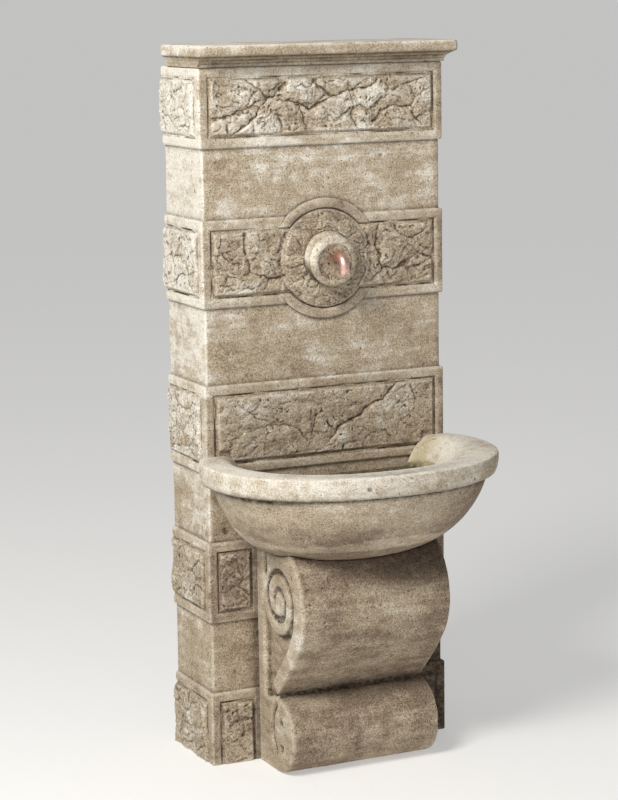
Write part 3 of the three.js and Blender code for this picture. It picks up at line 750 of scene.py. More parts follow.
def build_medallion():
    front = -bands_size()[1]
    eye, ring, disc, rise, boss_r, boss_l, dish_r, lift = mm(
        "medallion", "height", "ring_radius", "disc_radius", "disc_rise", "boss_radius", "boss_length",
        "dish_radius", "boss_lift",
    )
    frame_w, groove = mm("column", "frame_width", "groove")
    top = rise + boss_l
    panel = (BANDS[3][2] - BANDS[3][1]) / 2 - frame_w
    count = 340
    angles = np.arange(count) / count * 2 * math.pi
    rings = []
    for r, h in medallion_profile(disc, ring, rise, top, 10.5):
        x, z = r * np.cos(angles), r * np.sin(angles)
        p = np.column_stack([x, np.full(count, h), z])
        out = p[:, 1].copy()
        # In the panel the disc has no clean edge: it breaks off unevenly into the split stone
        broken = smooth((panel - 4 - np.abs(z)) / 10)
        if boss_r + 0.5 < r <= disc:
            relief = split_stone(x * 1.3, z * 1.3, 77, 8) - 3.4
            fade = lerp(smooth((disc + 2 - r) / 6), 1.0, broken)
            out = out + relief * 0.8 * smooth((r - boss_r) / 6) * fade
            ragged = 5 * roughness(p, 20, 3, 59)
            out = out - broken * 7 * smooth((r - disc + 9 + ragged) / 9)
            out = np.maximum(out, lerp(-1.5, -6.0, broken))
        elif r <= boss_r + 0.5:
            rough = 2.0 if r < dish_r - 2 else 0.8
            out = out + rough * (1.1 * roughness(p, 15, 4, 31) - 1.7 * spots(p, 6, 2, 33, 0.35, 0.2))
            out = np.minimum(out, top + 0.3)
        if r > disc + 2.5:
            drop = smooth((panel - 1 - np.abs(z)) / 3)
            in_panel = (np.abs(z) < panel - groove * 0.5) | (drop > 0)
            out = np.where(in_panel, lerp(out, -8.5, drop), out) + 0.3 * roughness(p, 30, 3, 41)
        lean = (lift - 0.25 * h) * float(smooth((h - rise * 0.4) / 10) * smooth((boss_r + 14 - r) / 13))
        rings.append(np.column_stack([x, front - out, eye + z + lean]))
    obj = lofted("medallion", rings)
    weather(obj, fine=5, broad=24, scale=0.8)
    x, y, z = places(obj).T
    z = z - eye
    out = np.hypot(x, z)
    # Painted shade where the ring stands on the shaft, and in the groove between disc and ring above and below
    foot = smooth((np.abs(z) - RING_FREE) / 3) * smooth((out - ring - 0.6) / 0.8)
    add_grime_and_shade(obj, 0.8 * foot + 0.6 * smooth((np.abs(z) - 62) / 8) * bell(out - disc - 1.2, 1.8))
    # Painted highlight on the boss's rim above and to the left, where the key light falls, on stone that is also
    # washed cleaner there
    high = smooth((front - y - rise + 1) / 3) * (out < boss_r + 9)
    lit = smooth((-(x - 4) * 0.6 + z * 0.8 - 8) / 30) * high * smooth((out - 22) / 12)
    # Painted shade in the sunk dish
    in_dish = smooth((front - top + 2.5 - y) / -4) * smooth((dish_r + 1 - np.hypot(x, z + 2)) / 5)
    painted(obj, tone=0.4 + 0.42 * lit - 0.1 * in_dish, rugged=np.where(out < disc, 1.0 - 0.6 * lit, 0.3))
    add_grime_and_shade(obj, -0.8 * lit)
    return obj


# Coping


def build_coping():
    half, depth = bands_size()
    back, front, side, height, nosing = mm("coping", "back", "front", "side", "height", "nosing")
    z0 = BANDS[-1][2] + JOINT
    z1 = z0 + height
    nose = z1 - nosing
    # Height, and share of the overhang
    profile = [(z0, -0.9), (z0, -0.3), (z0, 0.1)]
    cove = [(lerp(z0, nose, t), share) for t, share in ((0, 0.1), (0.3, 0.14), (0.62, 0.32), (0.85, 0.6))]
    cove += [(nose - 1.5, 0.74), (nose, 0.86)]
    for (za, sa), (zb, sb) in zip(cove, cove[1:]):
        profile += [(lerp(za, zb, t), lerp(sa, sb, t)) for t in (1 / 3, 2 / 3, 1)]
    for i in range(13):
        a = lerp(-1, 1, i / 12) * math.pi / 2 * 0.9
        profile.append((lerp(nose, z1, 0.5) + ((z1 - nose) / 2 - 0.6) * math.sin(a), 0.9 + 0.1 * math.cos(a)))
    profile += [(z1, 0.8), (z1, 0.5), (z1, 0.1), (z1, -0.6)]
    side_end = depth - back
    kinds, at = stations([(0, 4), (side_end, 1)], [(-half, 4), (half, 1)], 1)
    sign = np.select([kinds == "left", kinds == "right"], [-1, 1], 0)
    way = np.column_stack([sign, np.abs(sign) - 1])
    rows = []
    for z, share in profile:
        x, y = half + side * share, depth + front * share
        p = np.column_stack([
            np.where(sign == 0, at / half * x, sign * x),
            np.where(sign == 0, -y, -lerp(back, y, at / side_end)),
            np.full(len(at), z),
        ])
        if 0.1 <= share and z > z0 + 1:
            h = 0.5 * roughness(p, 50, 3, 15) + 0.25 * roughness(p, 8, 2, 16)
            arris = abs(z - z1) < 4 or abs(z - nose) < 3
            h = h - (2.6 if arris else 0.8) * spots(p, 13, 2, 18, 0.35, 0.25)
            p[:, :2] += way * (np.minimum(h, 0.0) if share > 0.95 else h)[:, None]
            if z > z1 - 1:
                p[:, 2] += np.minimum(0, 0.5 * roughness(p, 30, 3, 19) - 0.2)
        p[0, 1] = p[-1, 1] = -back
        rows.append(p)
    obj = skin("coping_cast", rows)
    weather(obj, scale=0.8)
    x, _, z = places(obj).T
    # Painted shadow under the nosing, and darker along the joint over the band
    add_grime_and_shade(obj, 0.9 * bell(z - nose + 1.5, 2.4) + 0.5 * smooth((z0 + 3 - z) / 3))
    # Painted light on the top and on the left end, where the key light falls, and painted shade on the cove under
    # the nosing
    tone = 0.56 + 0.3 * smooth((z - z1 + 8) / 6) - 0.15 * smooth((nose - z) / 6)
    painted(obj, tone=tone + 0.15 * smooth((-x - half + 2) / 6), rugged=0.35)
    return obj


# Basin

# Inner face of the basin in mm: depth below the rim, and how far in from the rim's inner edge
HOLLOW = np.array([
    (-1.5, -16), (0.2, -12), (2, -4), (7, 6), (16, 16), (40, 34),
    (65, 47), (98, 61), (130, 85), (155, 130), (166, 180), (171, 205),
], float)
# Rim's side: how far in mm it stands out of the basin's plan, and at which share of the rim's height
RIM = [(-5, 0), (1.5, 0.08), (5.5, 0.3), (8, 0.6), (8, 0.84), (6.6, 0.94), (3, 0.99), (0, 1)]
# Pits that show in the rim's side: place, size and depth
RIM_PITS = ((-75, 637, 5, 4), (98, 628, 4, 2.5), (178, 628, 4, 2.5))


def basin_plan(z, sx, sy, out, pinch=0.0, behind=0.0, around=240, side=16):
    """Ring of the basin at a height, from its back right corner round the front to the back left."""
    half_w, back_half, widest, reach_all = mm("basin", "half_width", "back_half", "widest", "reach")
    back = -bands_size()[1] - JOINT
    half = half_w * sx + out
    cut = (half_w - back_half) * sx + pinch
    t = np.arange(side) / side
    right = np.stack([half - cut * (1 - t) ** 2.2, back - widest * sy * t], -1)
    reach = (reach_all - widest) * sy + out
    a = np.linspace(0, math.pi, around + 1)
    power = 2 / 2.15
    x = half * np.sign(np.cos(a)) * np.abs(np.cos(a)) ** power
    y = reach * np.abs(np.sin(a)) ** power
    front = np.stack([x, back - widest * sy - y], -1)
    plan = np.concatenate([right, front, right[::-1] * [-1, 1]])
    plan[[0, -1], 1] += behind
    return np.column_stack([plan, np.full(len(plan), z)])


def block(name, x0, x1, y0, y1, z0, z1):
    """Box between two corners in mm, by the cube operator."""
    bpy.ops.object.select_all(action="DESELECT")
    middle = Vector(((x0 + x1) / 2, (y0 + y1) / 2, (z0 + z1) / 2)) / 1000 + Vector((0, WALL_Y, 0))
    size = ((x1 - x0) / 1000, (y1 - y0) / 1000, (z1 - z0) / 1000)
    bpy.ops.mesh.primitive_cube_add(size=1, location=middle, scale=size)
    return placed(name)


def placed(name):
    """The piece that an operator has just added, with its place applied."""
    bpy.context.object.name = name
    bpy.ops.object.transform_apply(location=True, rotation=True, scale=True)
    return bpy.context.object


def bowl_share(t, full):
    return full * (1 - (0.97 * t) ** 1.36) ** (1 / 3.6)


def bowl_body(grow, around, side, steps):
    """The basin's outside as one closed body."""
    rim_top, rim_h, deep = mm("basin", "rim_top", "rim_height", "bowl_depth")
    floor, under = rim_top - deep, rim_top - rim_h
    rings = []
    for i in range(steps, -1, -1):
        t = math.sin(i / steps * math.pi / 2)
        pinch = 25 * float(smooth(min(1, 2 * t)))
        z = lerp(under, floor, t) - (grow if i == steps else 0)
        rings.append(basin_plan(z, bowl_share(t, 0.934), bowl_share(t, 0.99), grow, pinch, 0, around, side))
    outs, shares = np.array(RIM).T
    for share in (*np.linspace(0, 0.06, 3), *np.linspace(0.1, 0.85, 12), *np.linspace(0.88, 1, 7)):
        out = float(np.interp(share, shares, outs))
        z = under + rim_h * share + (0.4 if share == 0 else 0)
        rings.append(basin_plan(z, 1, 1, out + grow, 0, 0, around, side))
    return lofted("basin_cast", rings)


def hollow_inset(depth):
    """How far in the hollow's face lies at a depth, eased between the knots."""
    at, inset = HOLLOW.T
    near = np.clip([depth - 5, depth, depth + 5], at[0], at[-1]) if 10 < depth < 160 else depth
    return float(np.interp(near, at, inset).mean())


def build_basin():
    rim_top, rim_h, reach, half, rim_w, wall, deep = mm(
        "basin", "rim_top", "rim_height", "reach", "half_width", "rim_width", "wall", "bowl_depth"
    )
    behind = -bands_size()[1] - JOINT
    shell = bowl_body(0, 240, 16, 40)
    floor = rim_top - deep + wall
    rings = []
    for depth in (rim_top - floor, *np.linspace(166, 60, 22), *np.linspace(55, 12, 16), *np.linspace(10, -1.5, 9)):
        share = 1 - hollow_inset(depth) / (half - rim_w)
        across, along = (half - rim_w) / half * share, (reach - rim_w) / reach * share
        rings.append(basin_plan(rim_top - depth, across, along, 0, 6, 5))
    hollow = lofted("hollow", rings)
    carve(hollow, block("keep", -half, half, behind - 26, behind + 20, 0, rim_top - 62), "DIFFERENCE")
    carve(shell, hollow, "DIFFERENCE")
    p = places(shell)
    normal = outward_lines(shell)
    h = 0.6 * roughness(p, 70, 3, 25) + 0.25 * roughness(p, 12, 3, 26)
    h = h - 1.6 * spots(p, 15, 2, 28, 0.5, 0.25) * smooth((p[:, 2] - rim_top + 9) / 7)
    h = h - 1.3 * spots(p, 9, 2, 29, 0.62, 0.12)
    for x, z, size, depth in RIM_PITS:
        h = h - np.where(normal[:, 1] < -0.5, depth * bell(np.hypot(p[:, 0] - x, p[:, 2] - z), size), 0)
    on_rim = smooth((p[:, 2] - rim_top + 52) / 4) > 0.5
    free = p[:, 1] < behind - 0.6
    p = p + normal * np.where(free, np.minimum(h, np.where(on_rim, 0.0, 0.8)), 0)[:, None]
    p[:, 2] = np.minimum(p[:, 2], rim_top)
    set_places(shell, p)
    weather(shell, scale=0.9)
    x, y, z = places(shell).T
    y = y - behind
    under = rim_top - rim_h
    radius = np.hypot(x / half, y / reach)
    # Painted shade in the crease under the rim band
    add_grime_and_shade(shell, np.where(radius > 0.8, 0.8 * bell(z - under - 1, 5), 0))
    facing = outward_lines(shell)
    # Painted light on what faces upwards; the rim band is lighter than the bowl under it
    upward = smooth((facing[:, 2] - 0.3) / 0.4) * (z > under)
    shade = 0.53 + 0.23 * smooth((z - under) / 4) + 0.14 * upward
    inner = (radius < 0.84) & (z > floor - 1)
    shade = np.where(inner, 0.9 - 0.4 * smooth((y + 50) / 50), shade)
    # Painted shade to the right, away from the key light, low down on the bowl, and where the bowl turns right
    # under the rim; darker also in a damp patch low on the bowl's front
    far = smooth((x - 120) / 160) * (y < -60) * (1 - inner) * (1 - upward)
    low_down = smooth((under - z - 20) / 120)
    turned = smooth((x - 60) / 170) * (z < under)
    damp = np.exp(-(((x + 80) / 60) ** 2) - ((z - 505) / 38) ** 2) * (facing[:, 1] < -0.2)
    add_grime_and_shade(shell, 0.22 * damp)
    stain = inner * smooth((x - 40) / 60) * smooth((y + 80) / 70) * smooth((rim_top - z + 2) / 12)
    tone = shade - 0.26 * far - 0.42 * low_down - 0.24 * damp - 0.42 * turned
    painted(shell, tone=tone, rugged=0.25, stain=stain)
    return shell


# Console


def bezier(p, steps):
    t = np.linspace(0, 1, steps + 1)[:, None]
    p = np.array(p, float)
    return (1 - t) ** 3 * p[0] + 3 * t * (1 - t) ** 2 * p[1] + 3 * t * t * (1 - t) * p[2] + t**3 * p[3]


def moved(line, width):
    """A line in the side view moved towards the wall by a width that changes along it."""
    n = len(line)
    out = []
    for i in range(n):
        a, b = line[max(0, i - 1)], line[min(n - 1, i + 1)]
        d = np.hypot(*(b - a))
        w = width(i / (n - 1))
        out.append((line[i][0] - (b[1] - a[1]) / d * w, line[i][1] + (b[0] - a[0]) / d * w))
    return np.array(out)


def side_body(name, outline, x0, x1):
    """An outline in the side view, extruded along X in edit mode."""
    points = [(x0, y, z) for y, z in outline]
    obj = obj_from(name, points, [list(range(len(points)))])
    bpy.ops.object.mode_set(mode="EDIT")
    bpy.ops.mesh.select_all(action="SELECT")
    bpy.ops.mesh.extrude_region_move(TRANSFORM_OT_translate={"value": ((x1 - x0) / 1000, 0, 0)})
    bpy.ops.object.mode_set(mode="OBJECT")
    return outward(obj)


def side_roll(name, y, z, r, x0, x1):
    """A round bar along X, by the cylinder operator."""
    bpy.ops.object.select_all(action="DESELECT")
    middle = Vector(((x0 + x1) / 2, y, z)) / 1000 + Vector((0, WALL_Y, 0))
    bpy.ops.mesh.primitive_cylinder_add(
        vertices=96, radius=r / 1000, depth=(x1 - x0) / 1000, location=middle, rotation=(0, math.pi / 2, 0)
    )
    return placed(name)


def build_console():
    wide, recess, roll_r, volute_r, gw, gd = mm(
        "console", "half_width", "web_recess", "roll_radius", "volute_radius", "groove_width", "groove_depth"
    )
    front = -bands_size()[1]
    back = front - JOINT
    roll_y, reach = front - mm("console", "roll_reach"), front - mm("console", "scroll_reach")
    height = mm("console", "scroll_height")
    crease = 2 * roll_r + 4
    strip = 34
    rim_top, rim_h = mm("basin", "rim_top", "rim_height")
    top = rim_top - rim_h - 125
    upper = bezier([(front - 140, top), (front - 195, top - 20), (reach, height + 55), (reach, height)], 24)
    lower = bezier([(reach, height), (reach, height - 70), (front - 160, crease + 71), (roll_y, crease)], 40)
    line = np.concatenate([upper, lower[1:]])
    outline = [(back, top), *map(tuple, line), (roll_y, 0), (back, 0)]
    web = wide - recess
    body = side_body("console_cast", outline, -web, web)
    whole = side_body("whole", outline, -wide, wide)
    carve(whole, side_roll("roll_whole", roll_y, roll_r, roll_r, -wide, wide), "UNION")
    ribbon = np.concatenate([line, moved(line, lambda t: lerp(52, 32, t))[::-1]])
    vy, vz = front - 106, height + 11
    raised = block("strip", -wide, wide, back - strip, back, 0, top)
    for tool in (
        side_body("ribbon", ribbon, -wide, wide),
        side_roll("volute", vy, vz, volute_r, -wide, wide),
        block("head", -wide, wide, front - 200, front - 52, vz, top),
        side_roll("roll", roll_y, roll_r, roll_r, -wide, wide),
        block("foot", -wide, wide, roll_y, back, 0, crease - 14),
    ):
        carve(raised, tool, "UNION")
    carve(raised, whole, "INTERSECT")
    carve(body, side_roll("roll_web", roll_y, roll_r, roll_r, -web, web), "UNION")
    carve(body, raised, "UNION")
    carve(body, bowl_body(JOINT, 120, 8, 24), "DIFFERENCE")
    # Arrises worn round before the grooves are cut
    modified(body, "REMESH", mode="VOXEL", voxel_size=0.0032, adaptivity=0)
    modified(body, "SMOOTH", factor=0.5, iterations=9)
    a = np.linspace(0, 3.4 * math.pi, 110)
    r = volute_r + 3 - 9.3 * a / (math.pi / 2)
    spiral = np.column_stack([vy - r * np.sin(a), vz - r * np.cos(a)])
    a = np.linspace(0.75, 2.35, 30)
    round_roll = np.column_stack([roll_y - 52 + 75 * np.sin(a), roll_r + 12 + 75 * np.cos(a)])

    def spiral_width(t):
        return gw / 2 * (0.85 + 0.75 * math.exp(-(((t - 0.6) / 0.1) ** 2)) - 0.25 * t)

    for groove, width in ((spiral, spiral_width), (round_roll, lambda t: gw / 2)):
        cut = np.concatenate([moved(groove, width), moved(groove, lambda t: -width(t))[::-1]])
        for x0, x1 in ((-wide - 5, -wide + gd + 2), (wide - gd - 2, wide + 5)):
            carve(body, side_body("cut", cut, x0, x1), "DIFFERENCE")
    modified(body, "REMESH", mode="VOXEL", voxel_size=0.0031, adaptivity=0)
    modified(body, "SMOOTH", factor=0.5, iterations=1)
    p = places(body)
    x, y, z = p.T
    h = 0.8 * roughness(p, 60, 3, 35) + 0.55 * roughness(p, 9, 3, 36) - 1.2 * spots(p, 8, 2, 37, 0.5, 0.15)
    # Two sinkings in each end of the lower roll, three-cornered, as pressed in with a tool's tip
    pocks = np.zeros(len(p))
    for dz in (-26, 34):
        across, up = y - roll_y + 22, (z - roll_r - dz) * (1 if dz > 0 else -1)
        d = np.maximum(np.abs(across) * 1.2 + up * 0.75, -up)
        pocks = pocks + smooth((9.5 - d) / 4) * (np.abs(x) > wide - 6)
    h = h - 7 * pocks
    free = (y < back - 0.5) & (z > 1)
    p = p + outward_lines(body) * np.where(free, np.minimum(h, 0.9), 0)[:, None]
    p[:, 2] = np.maximum(p[:, 2], 0)
    p[:, 1] = np.minimum(p[:, 1], back)
    p[:, 0] = np.clip(p[:, 0], -wide, wide)
    set_places(body, p)
    weather(body, fine=3, broad=16, scale=0.8)
    x, y, z = places(body).T
    ends = smooth((np.abs(x) - web + 1) / 3)
    # Painted shade in the spiral groove and in the roll's groove on the console's ends
    drawn, _ = from_line(y, z, spiral)
    rolled, _ = from_line(y, z, round_roll)
    dirt_and_shade = ends * (np.exp(-((drawn / 6.2) ** 4)) + 0.6 * np.exp(-((rolled / 4) ** 4)))
    # Painted shade in the web beside the strip, in the crease over the roll and against the column, and painted
    # shadow under the basin
    beside = (back - strip - y) / 6
    dirt_and_shade = dirt_and_shade + 0.7 * (1 - ends) * (np.abs(x) > web - 2) * np.where(beside > -0.2, bell(beside, 1), 0)
    dirt_and_shade = dirt_and_shade + 0.65 * bell(np.hypot((y - roll_y) / 30, (z - crease) / 11), 1) * (np.abs(x) < wide - 6)
    out_front = smooth((front - 60 - y) / 40)
    dirt_and_shade = dirt_and_shade + 0.75 * smooth((z - height - 8) / 70) * smooth((x + 120) / 220) * out_front
    # More painted shade against the column, and in the roll's sinkings
    add_grime_and_shade(body, dirt_and_shade + 0.8 * smooth((y - back + 5) / 4) + 0.8 * np.clip(pocks, 0, 1))
    # Painted light and shade: lighter higher up and on the left end, where the key light falls; painted shadow
    # under the basin; darker towards the right, away from the light
    shade = 0.23 + 0.12 * smooth((z - 100) / 300) + 0.22 * smooth((-x - web - 2) / 6)
    shade = shade - 0.3 * smooth((z - height + 5) / 80) * out_front - 0.12 * smooth((x - 60) / 120)
    painted(body, tone=shade, worn=read(body, "worn") * 0.45, rugged=0.65)
    return body


# Spout


def build_spout():
    """Copper elbow: a circle extruded out of the dish, spun down through the bend, and extruded down."""
    s = props("spout")
    middle, rise, length_out, dish = mm("medallion", "height", "disc_rise", "boss_length", "dish_depth")
    x, lift, bend, reach, drop = mm("spout", "side", "rise", "bend", "reach", "drop")
    face = -bands_size()[1] - rise - length_out + dish
    z = middle + lift
    start, end = face + 12, face - reach
    shift = Vector((0, WALL_Y, 0))
    bpy.ops.object.select_all(action="DESELECT")
    bpy.ops.mesh.primitive_circle_add(
        vertices=48, radius=s.radius - s.wall / 2, fill_type="NOTHING",
        location=Vector((x, start, z)) / 1000 + shift, rotation=(math.pi / 2, 0, 0),
    )
    obj = placed("spout_elbow")
    bpy.ops.object.mode_set(mode="EDIT")
    bpy.ops.mesh.select_all(action="SELECT")
    for _ in range(4):
        bpy.ops.mesh.extrude_region_move(TRANSFORM_OT_translate={"value": (0, (end + bend - start) / 4000, 0)})
    centre = Vector((x, end + bend, z - bend)) / 1000 + shift
    bpy.ops.mesh.spin(steps=14, angle=-math.pi / 2, center=centre, axis=(1, 0, 0))
    bpy.ops.mesh.extrude_region_move(TRANSFORM_OT_translate={"value": (0, 0, -(drop - bend) / 1000)})
    bpy.ops.object.mode_set(mode="OBJECT")
    outward(obj)
    modified(obj, "SOLIDIFY", thickness=s.wall, offset=0, use_even_offset=True)
    modified(obj, "BEVEL", width=0.0004, segments=2, limit_method="ANGLE", angle_limit=math.radians(50))
    return obj


# Materials


def linear(value):
    """sRGB hex value or fractions to linear colour."""
    if isinstance(value, str):
        value = fractions(value)
    return [v / 12.92 if v <= 0.04045 else ((v + 0.055) / 1.055) ** 2.4 for v in value] + [1.0]


def add(tree, kind, settings=None, **inputs):
    """Adds a node with its settings; an input is a value or the output that it is linked to."""
    node = tree.nodes.new("ShaderNode" + kind)
    for key, value in (settings or {}).items():
        setattr(node, key, value)
    for key, value in inputs.items():
        name = key.replace("_", " ")
        socket = node.inputs[int(key[1:])] if key[0] == "i" and key[1:].isdigit() else node.inputs[name]
        if isinstance(value, bpy.types.NodeSocket):
            tree.links.new(value, socket)
        else:
            socket.default_value = value
    return node


def blank(name):
    """A new material without nodes, its tree, and the object's own coordinates."""
    material = bpy.data.materials.new(name)
    material.use_nodes = True
    tree = material.node_tree
    tree.nodes.clear()
    return material, tree, add(tree, "TexCoord").outputs["Object"]


def shaded(tree, **inputs):
    """The shader with its inputs, linked to the material's output."""
    shader = add(tree, "BsdfPrincipled", **inputs)
    add(tree, "OutputMaterial", Surface=shader.outputs[0])
    return shader


def ranged(tree, value, a, b, c=0.0, d=1.0, kind="SMOOTHSTEP"):
    return add(tree, "MapRange", {"interpolation_type": kind}, i0=value, i1=a, i2=b, i3=c, i4=d).outputs["Result"]


def cast_stone(name, mottle=9.0, green=False, grit=1.0, clean=1.0):
    """Cast stone, poured and tamped, then weathered outdoors: matt, sandy, mottled, and dark in its creases with
    soiling and painted shade.
    """
    f = props("finishes")
    material, tree, where = blank(name)

    def noise(scale, detail, rough=0.55, warp=0.0, at=where):
        inputs = {"Scale": scale, "Detail": detail, "Roughness": rough, "Distortion": warp}
        return add(tree, "TexNoise", i0=at, **inputs).outputs["Fac"]

    def attribute(label):
        return add(tree, "Attribute", {"attribute_name": label}).outputs["Fac"]

    def mapped(*values):
        return ranged(tree, *values)

    def maths(operation, *values, clamp=True):
        inputs = {f"i{k}": value for k, value in enumerate(values)}
        return add(tree, "Math", {"operation": operation, "use_clamp": clamp}, **inputs).outputs[0]

    def mixed(fac, a, b, blend="MIX"):
        return add(tree, "Mix", {"data_type": "RGBA", "blend_type": blend}, i0=fac, i6=a, i7=b).outputs[2]

    # Clouds of damp and washed stone about 110 mm and 25 mm across
    clouds = mapped(noise(mottle, 5, 0.6, 0.3), 0.3, 0.7, -0.17 * clean, 0.17 * clean)
    flecks = mapped(noise(mottle * 4.4, 4, 0.65), 0.3, 0.7, -0.13, 0.13)
    # Level smears of run water and lime, about 90 mm long and 18 mm high
    lying = add(tree, "Mapping", Vector=where, Scale=(1.0, 1.0, 5.0)).outputs["Vector"]
    smears = mapped(noise(11.0, 5.0, 0.6, at=lying), 0.3, 0.7, -0.15 * clean, 0.15 * clean)
    level = maths("ADD", maths("ADD", attribute("tone"), clouds, clamp=False), smears, clamp=False)
    level = maths("ADD", level, flecks)
    body = mixed(mapped(level, 0.0, 0.5), linear(f.dark_stone), linear(f.warm_stone))
    body = mixed(mapped(level, 0.45, 1.0), body, linear(f.light_stone))
    # Sand grains: real ones are about 1 mm, drawn at 3 mm so that they show
    sand = noise(330, 2, 0.7)
    body = mixed(0.8, body, mixed(mapped(sand, 0.34, 0.66), linear("#7b7368"), linear("#f2ede4")), "SOFT_LIGHT")
    # Warm brown stains, 40 mm across
    stain = mapped(noise(24, 4, 0.6, 0.6), 0.52, 0.75, 0.0, 0.42 * clean)
    body = mixed(stain, body, linear("#8b7860"))
    if green:
        algae = maths("MULTIPLY", attribute("stain"), mapped(noise(30, 3), 0.3, 0.6, 0.35, 0.85))
        body = mixed(algae, body, linear(f.algae))
    # Wear lightens what stands proud
    worn = maths("MULTIPLY", attribute("worn"), mapped(noise(60, 3), 0.3, 0.7, 0.05, 0.5))
    body = mixed(worn, body, linear("#dcd5c7"))
    # Dirt and painted shade in creases, broken up by noise
    dirt_and_shade = maths("MULTIPLY", attribute("grime"), mapped(noise(85, 4, 0.7), 0.3, 0.65, 0.45, 1.0))
    body = mixed(dirt_and_shade, body, linear(f.grime))
    # Small dark pits 3 to 7 mm apart, the smaller ones where the stone is rugged
    large = add(tree, "TexVoronoi", i0=where, Scale=150.0, Randomness=1.0).outputs["Distance"]
    small = add(tree, "TexVoronoi", i0=where, Scale=290.0, Randomness=1.0).outputs["Distance"]
    pit = maths("MULTIPLY", mapped(large, 0.3, 0.12), mapped(noise(40, 3, 0.7), 0.47, 0.62))
    speck = maths("MULTIPLY", mapped(small, 0.36, 0.14), mapped(noise(28, 4, 0.75), 0.38, 0.6, 0.2, 1.0))
    pit = maths("MAXIMUM", pit, maths("MULTIPLY", speck, attribute("rugged")))
    body = mixed(maths("MULTIPLY", pit, 0.72), body, linear("#4b4033"))
    # Relief of sand, tamping and pits
    low = maths("MULTIPLY", noise(70, 4, 0.65), 0.9, clamp=False)
    relief = maths("SUBTRACT", maths("MULTIPLY_ADD", sand, 0.5 * grit, low, clamp=False), pit, clamp=False)
    bump = add(tree, "Bump", Strength=0.85, Distance=0.0013, Height=relief).outputs["Normal"]
    rough = mapped(clouds, -0.17 * clean, 0.17 * clean, 0.96, 0.86)
    shader = shaded(tree, Base_Color=body, Roughness=rough, Normal=bump, IOR=1.5)
    shader.inputs["Specular IOR Level"].default_value = 0.25
    return material


def drawn_copper():
    """Copper tube, drawn and bent, then handled: bright, pinkish, with brown tarnish and a fine grain."""
    material, tree, where = blank("drawn_copper_tube")
    patch = add(tree, "TexNoise", i0=where, Scale=150.0, Detail=4.0).outputs["Fac"]
    tarnish = ranged(tree, patch, 0.52, 0.75, 0.0, 0.45)
    tint = linear(props("finishes").copper)
    mix = add(tree, "Mix", {"data_type": "RGBA"}, i0=tarnish, i6=tint, i7=linear("#a8614e")).outputs[2]
    rough = ranged(tree, patch, 0.3, 0.7, 0.28, 0.5, "LINEAR")
    fine = add(tree, "TexNoise", i0=where, Scale=900.0, Detail=3.0).outputs["Fac"]
    bump = add(tree, "Bump", Strength=0.25, Distance=0.0003, Height=fine).outputs["Normal"]
    shaded(tree, Base_Color=mix, Metallic=1.0, Roughness=rough, Normal=bump)
    return material


def light_table():
    """Opal acrylic light table: matt, white, lit faintly from below, so that it stays pale far out."""
    material, tree, where = blank("opal_acrylic_light_table")
    grain = add(tree, "TexNoise", i0=where, Scale=60.0, Detail=4.0).outputs["Fac"]
    bump = add(tree, "Bump", Strength=0.05, Distance=0.001, Height=grain).outputs["Normal"]
    shader = shaded(tree, Base_Color=linear(props("finishes").floor), Roughness=0.9, Normal=bump)
    shader.inputs["Emission Color"].default_value = linear("#f6f5f3")
    shader.inputs["Emission Strength"].default_value = 0.4
    return material


# Stage: the lamps' name, place, target, size, power and tint, and the camera as fitted to the photo
LAMPS = (
    ("key_window", (-2.7, -1.75, 3.3), (0, -0.1, 0.9), 1.3, 165, "#fffdf9"),
    ("front_fill", (-1.6, -4.6, 2.4), (0, 0, 0.9), 3.0, 26, "#fbfaff"),
)
FLOOR_SIZE = 4000
CAMERA_PLACE = (-2.1022, -4.3344, 1.6006)
YAW, PITCH, ROLL = (math.radians(v) for v in (25.025, -9.776, 0.864))
FOCAL_PER_HEIGHT = 2365.9 / 800


def light_up(scene):
    world = bpy.data.worlds.new("soft_studio_air")
    world.use_nodes = True
    tree = world.node_tree
    air = tree.nodes["Background"]
    air.inputs["Color"].default_value = linear("#e4e6ea")
    air.inputs["Strength"].default_value = 0.34
    # What is seen over the floor's far edge has the floor's own tone
    seen = add(tree, "Background", Color=linear("#c4c4c2"))
    path = add(tree, "LightPath").outputs["Is Camera Ray"]
    both = add(tree, "MixShader", i0=path, i1=air.outputs[0], i2=seen.outputs[0])
    tree.links.new(both.outputs[0], tree.nodes["World Output"].inputs["Surface"])
    scene.world = world
    for name, place, target, size, power, tint in LAMPS:
        data = bpy.data.lights.new(name, "AREA")
        data.size = size
        data.energy = power
        data.color = linear(tint)[:3]
        lamp = bpy.data.objects.new(name, data)
        lamp.location = place
        lamp.rotation_euler = (Vector(target) - Vector(place)).to_track_quat("-Z", "Y").to_euler()
        scene.collection.objects.link(lamp)


def set_camera(scene):
    forward = Vector((math.sin(YAW) * math.cos(PITCH), math.cos(YAW) * math.cos(PITCH), math.sin(PITCH)))
    right = Vector((math.cos(YAW), -math.sin(YAW), 0))
    down = forward.cross(right)
    across = math.cos(ROLL) * right + math.sin(ROLL) * down
    under = -math.sin(ROLL) * right + math.cos(ROLL) * down
    turn = Matrix((across, -under, -forward)).transposed().to_4x4()
    data = bpy.data.cameras.new("camera")
    data.sensor_width = 36
    data.lens = 36 * FOCAL_PER_HEIGHT
    data.clip_end = 1.5 * FLOOR_SIZE
    camera = bpy.data.objects.new("camera", data)
    camera.matrix_world = Matrix.Translation(CAMERA_PLACE) @ turn
    scene.collection.objects.link(camera)
    scene.camera = camera
    scene.view_settings.view_transform = "Standard"


# Operators


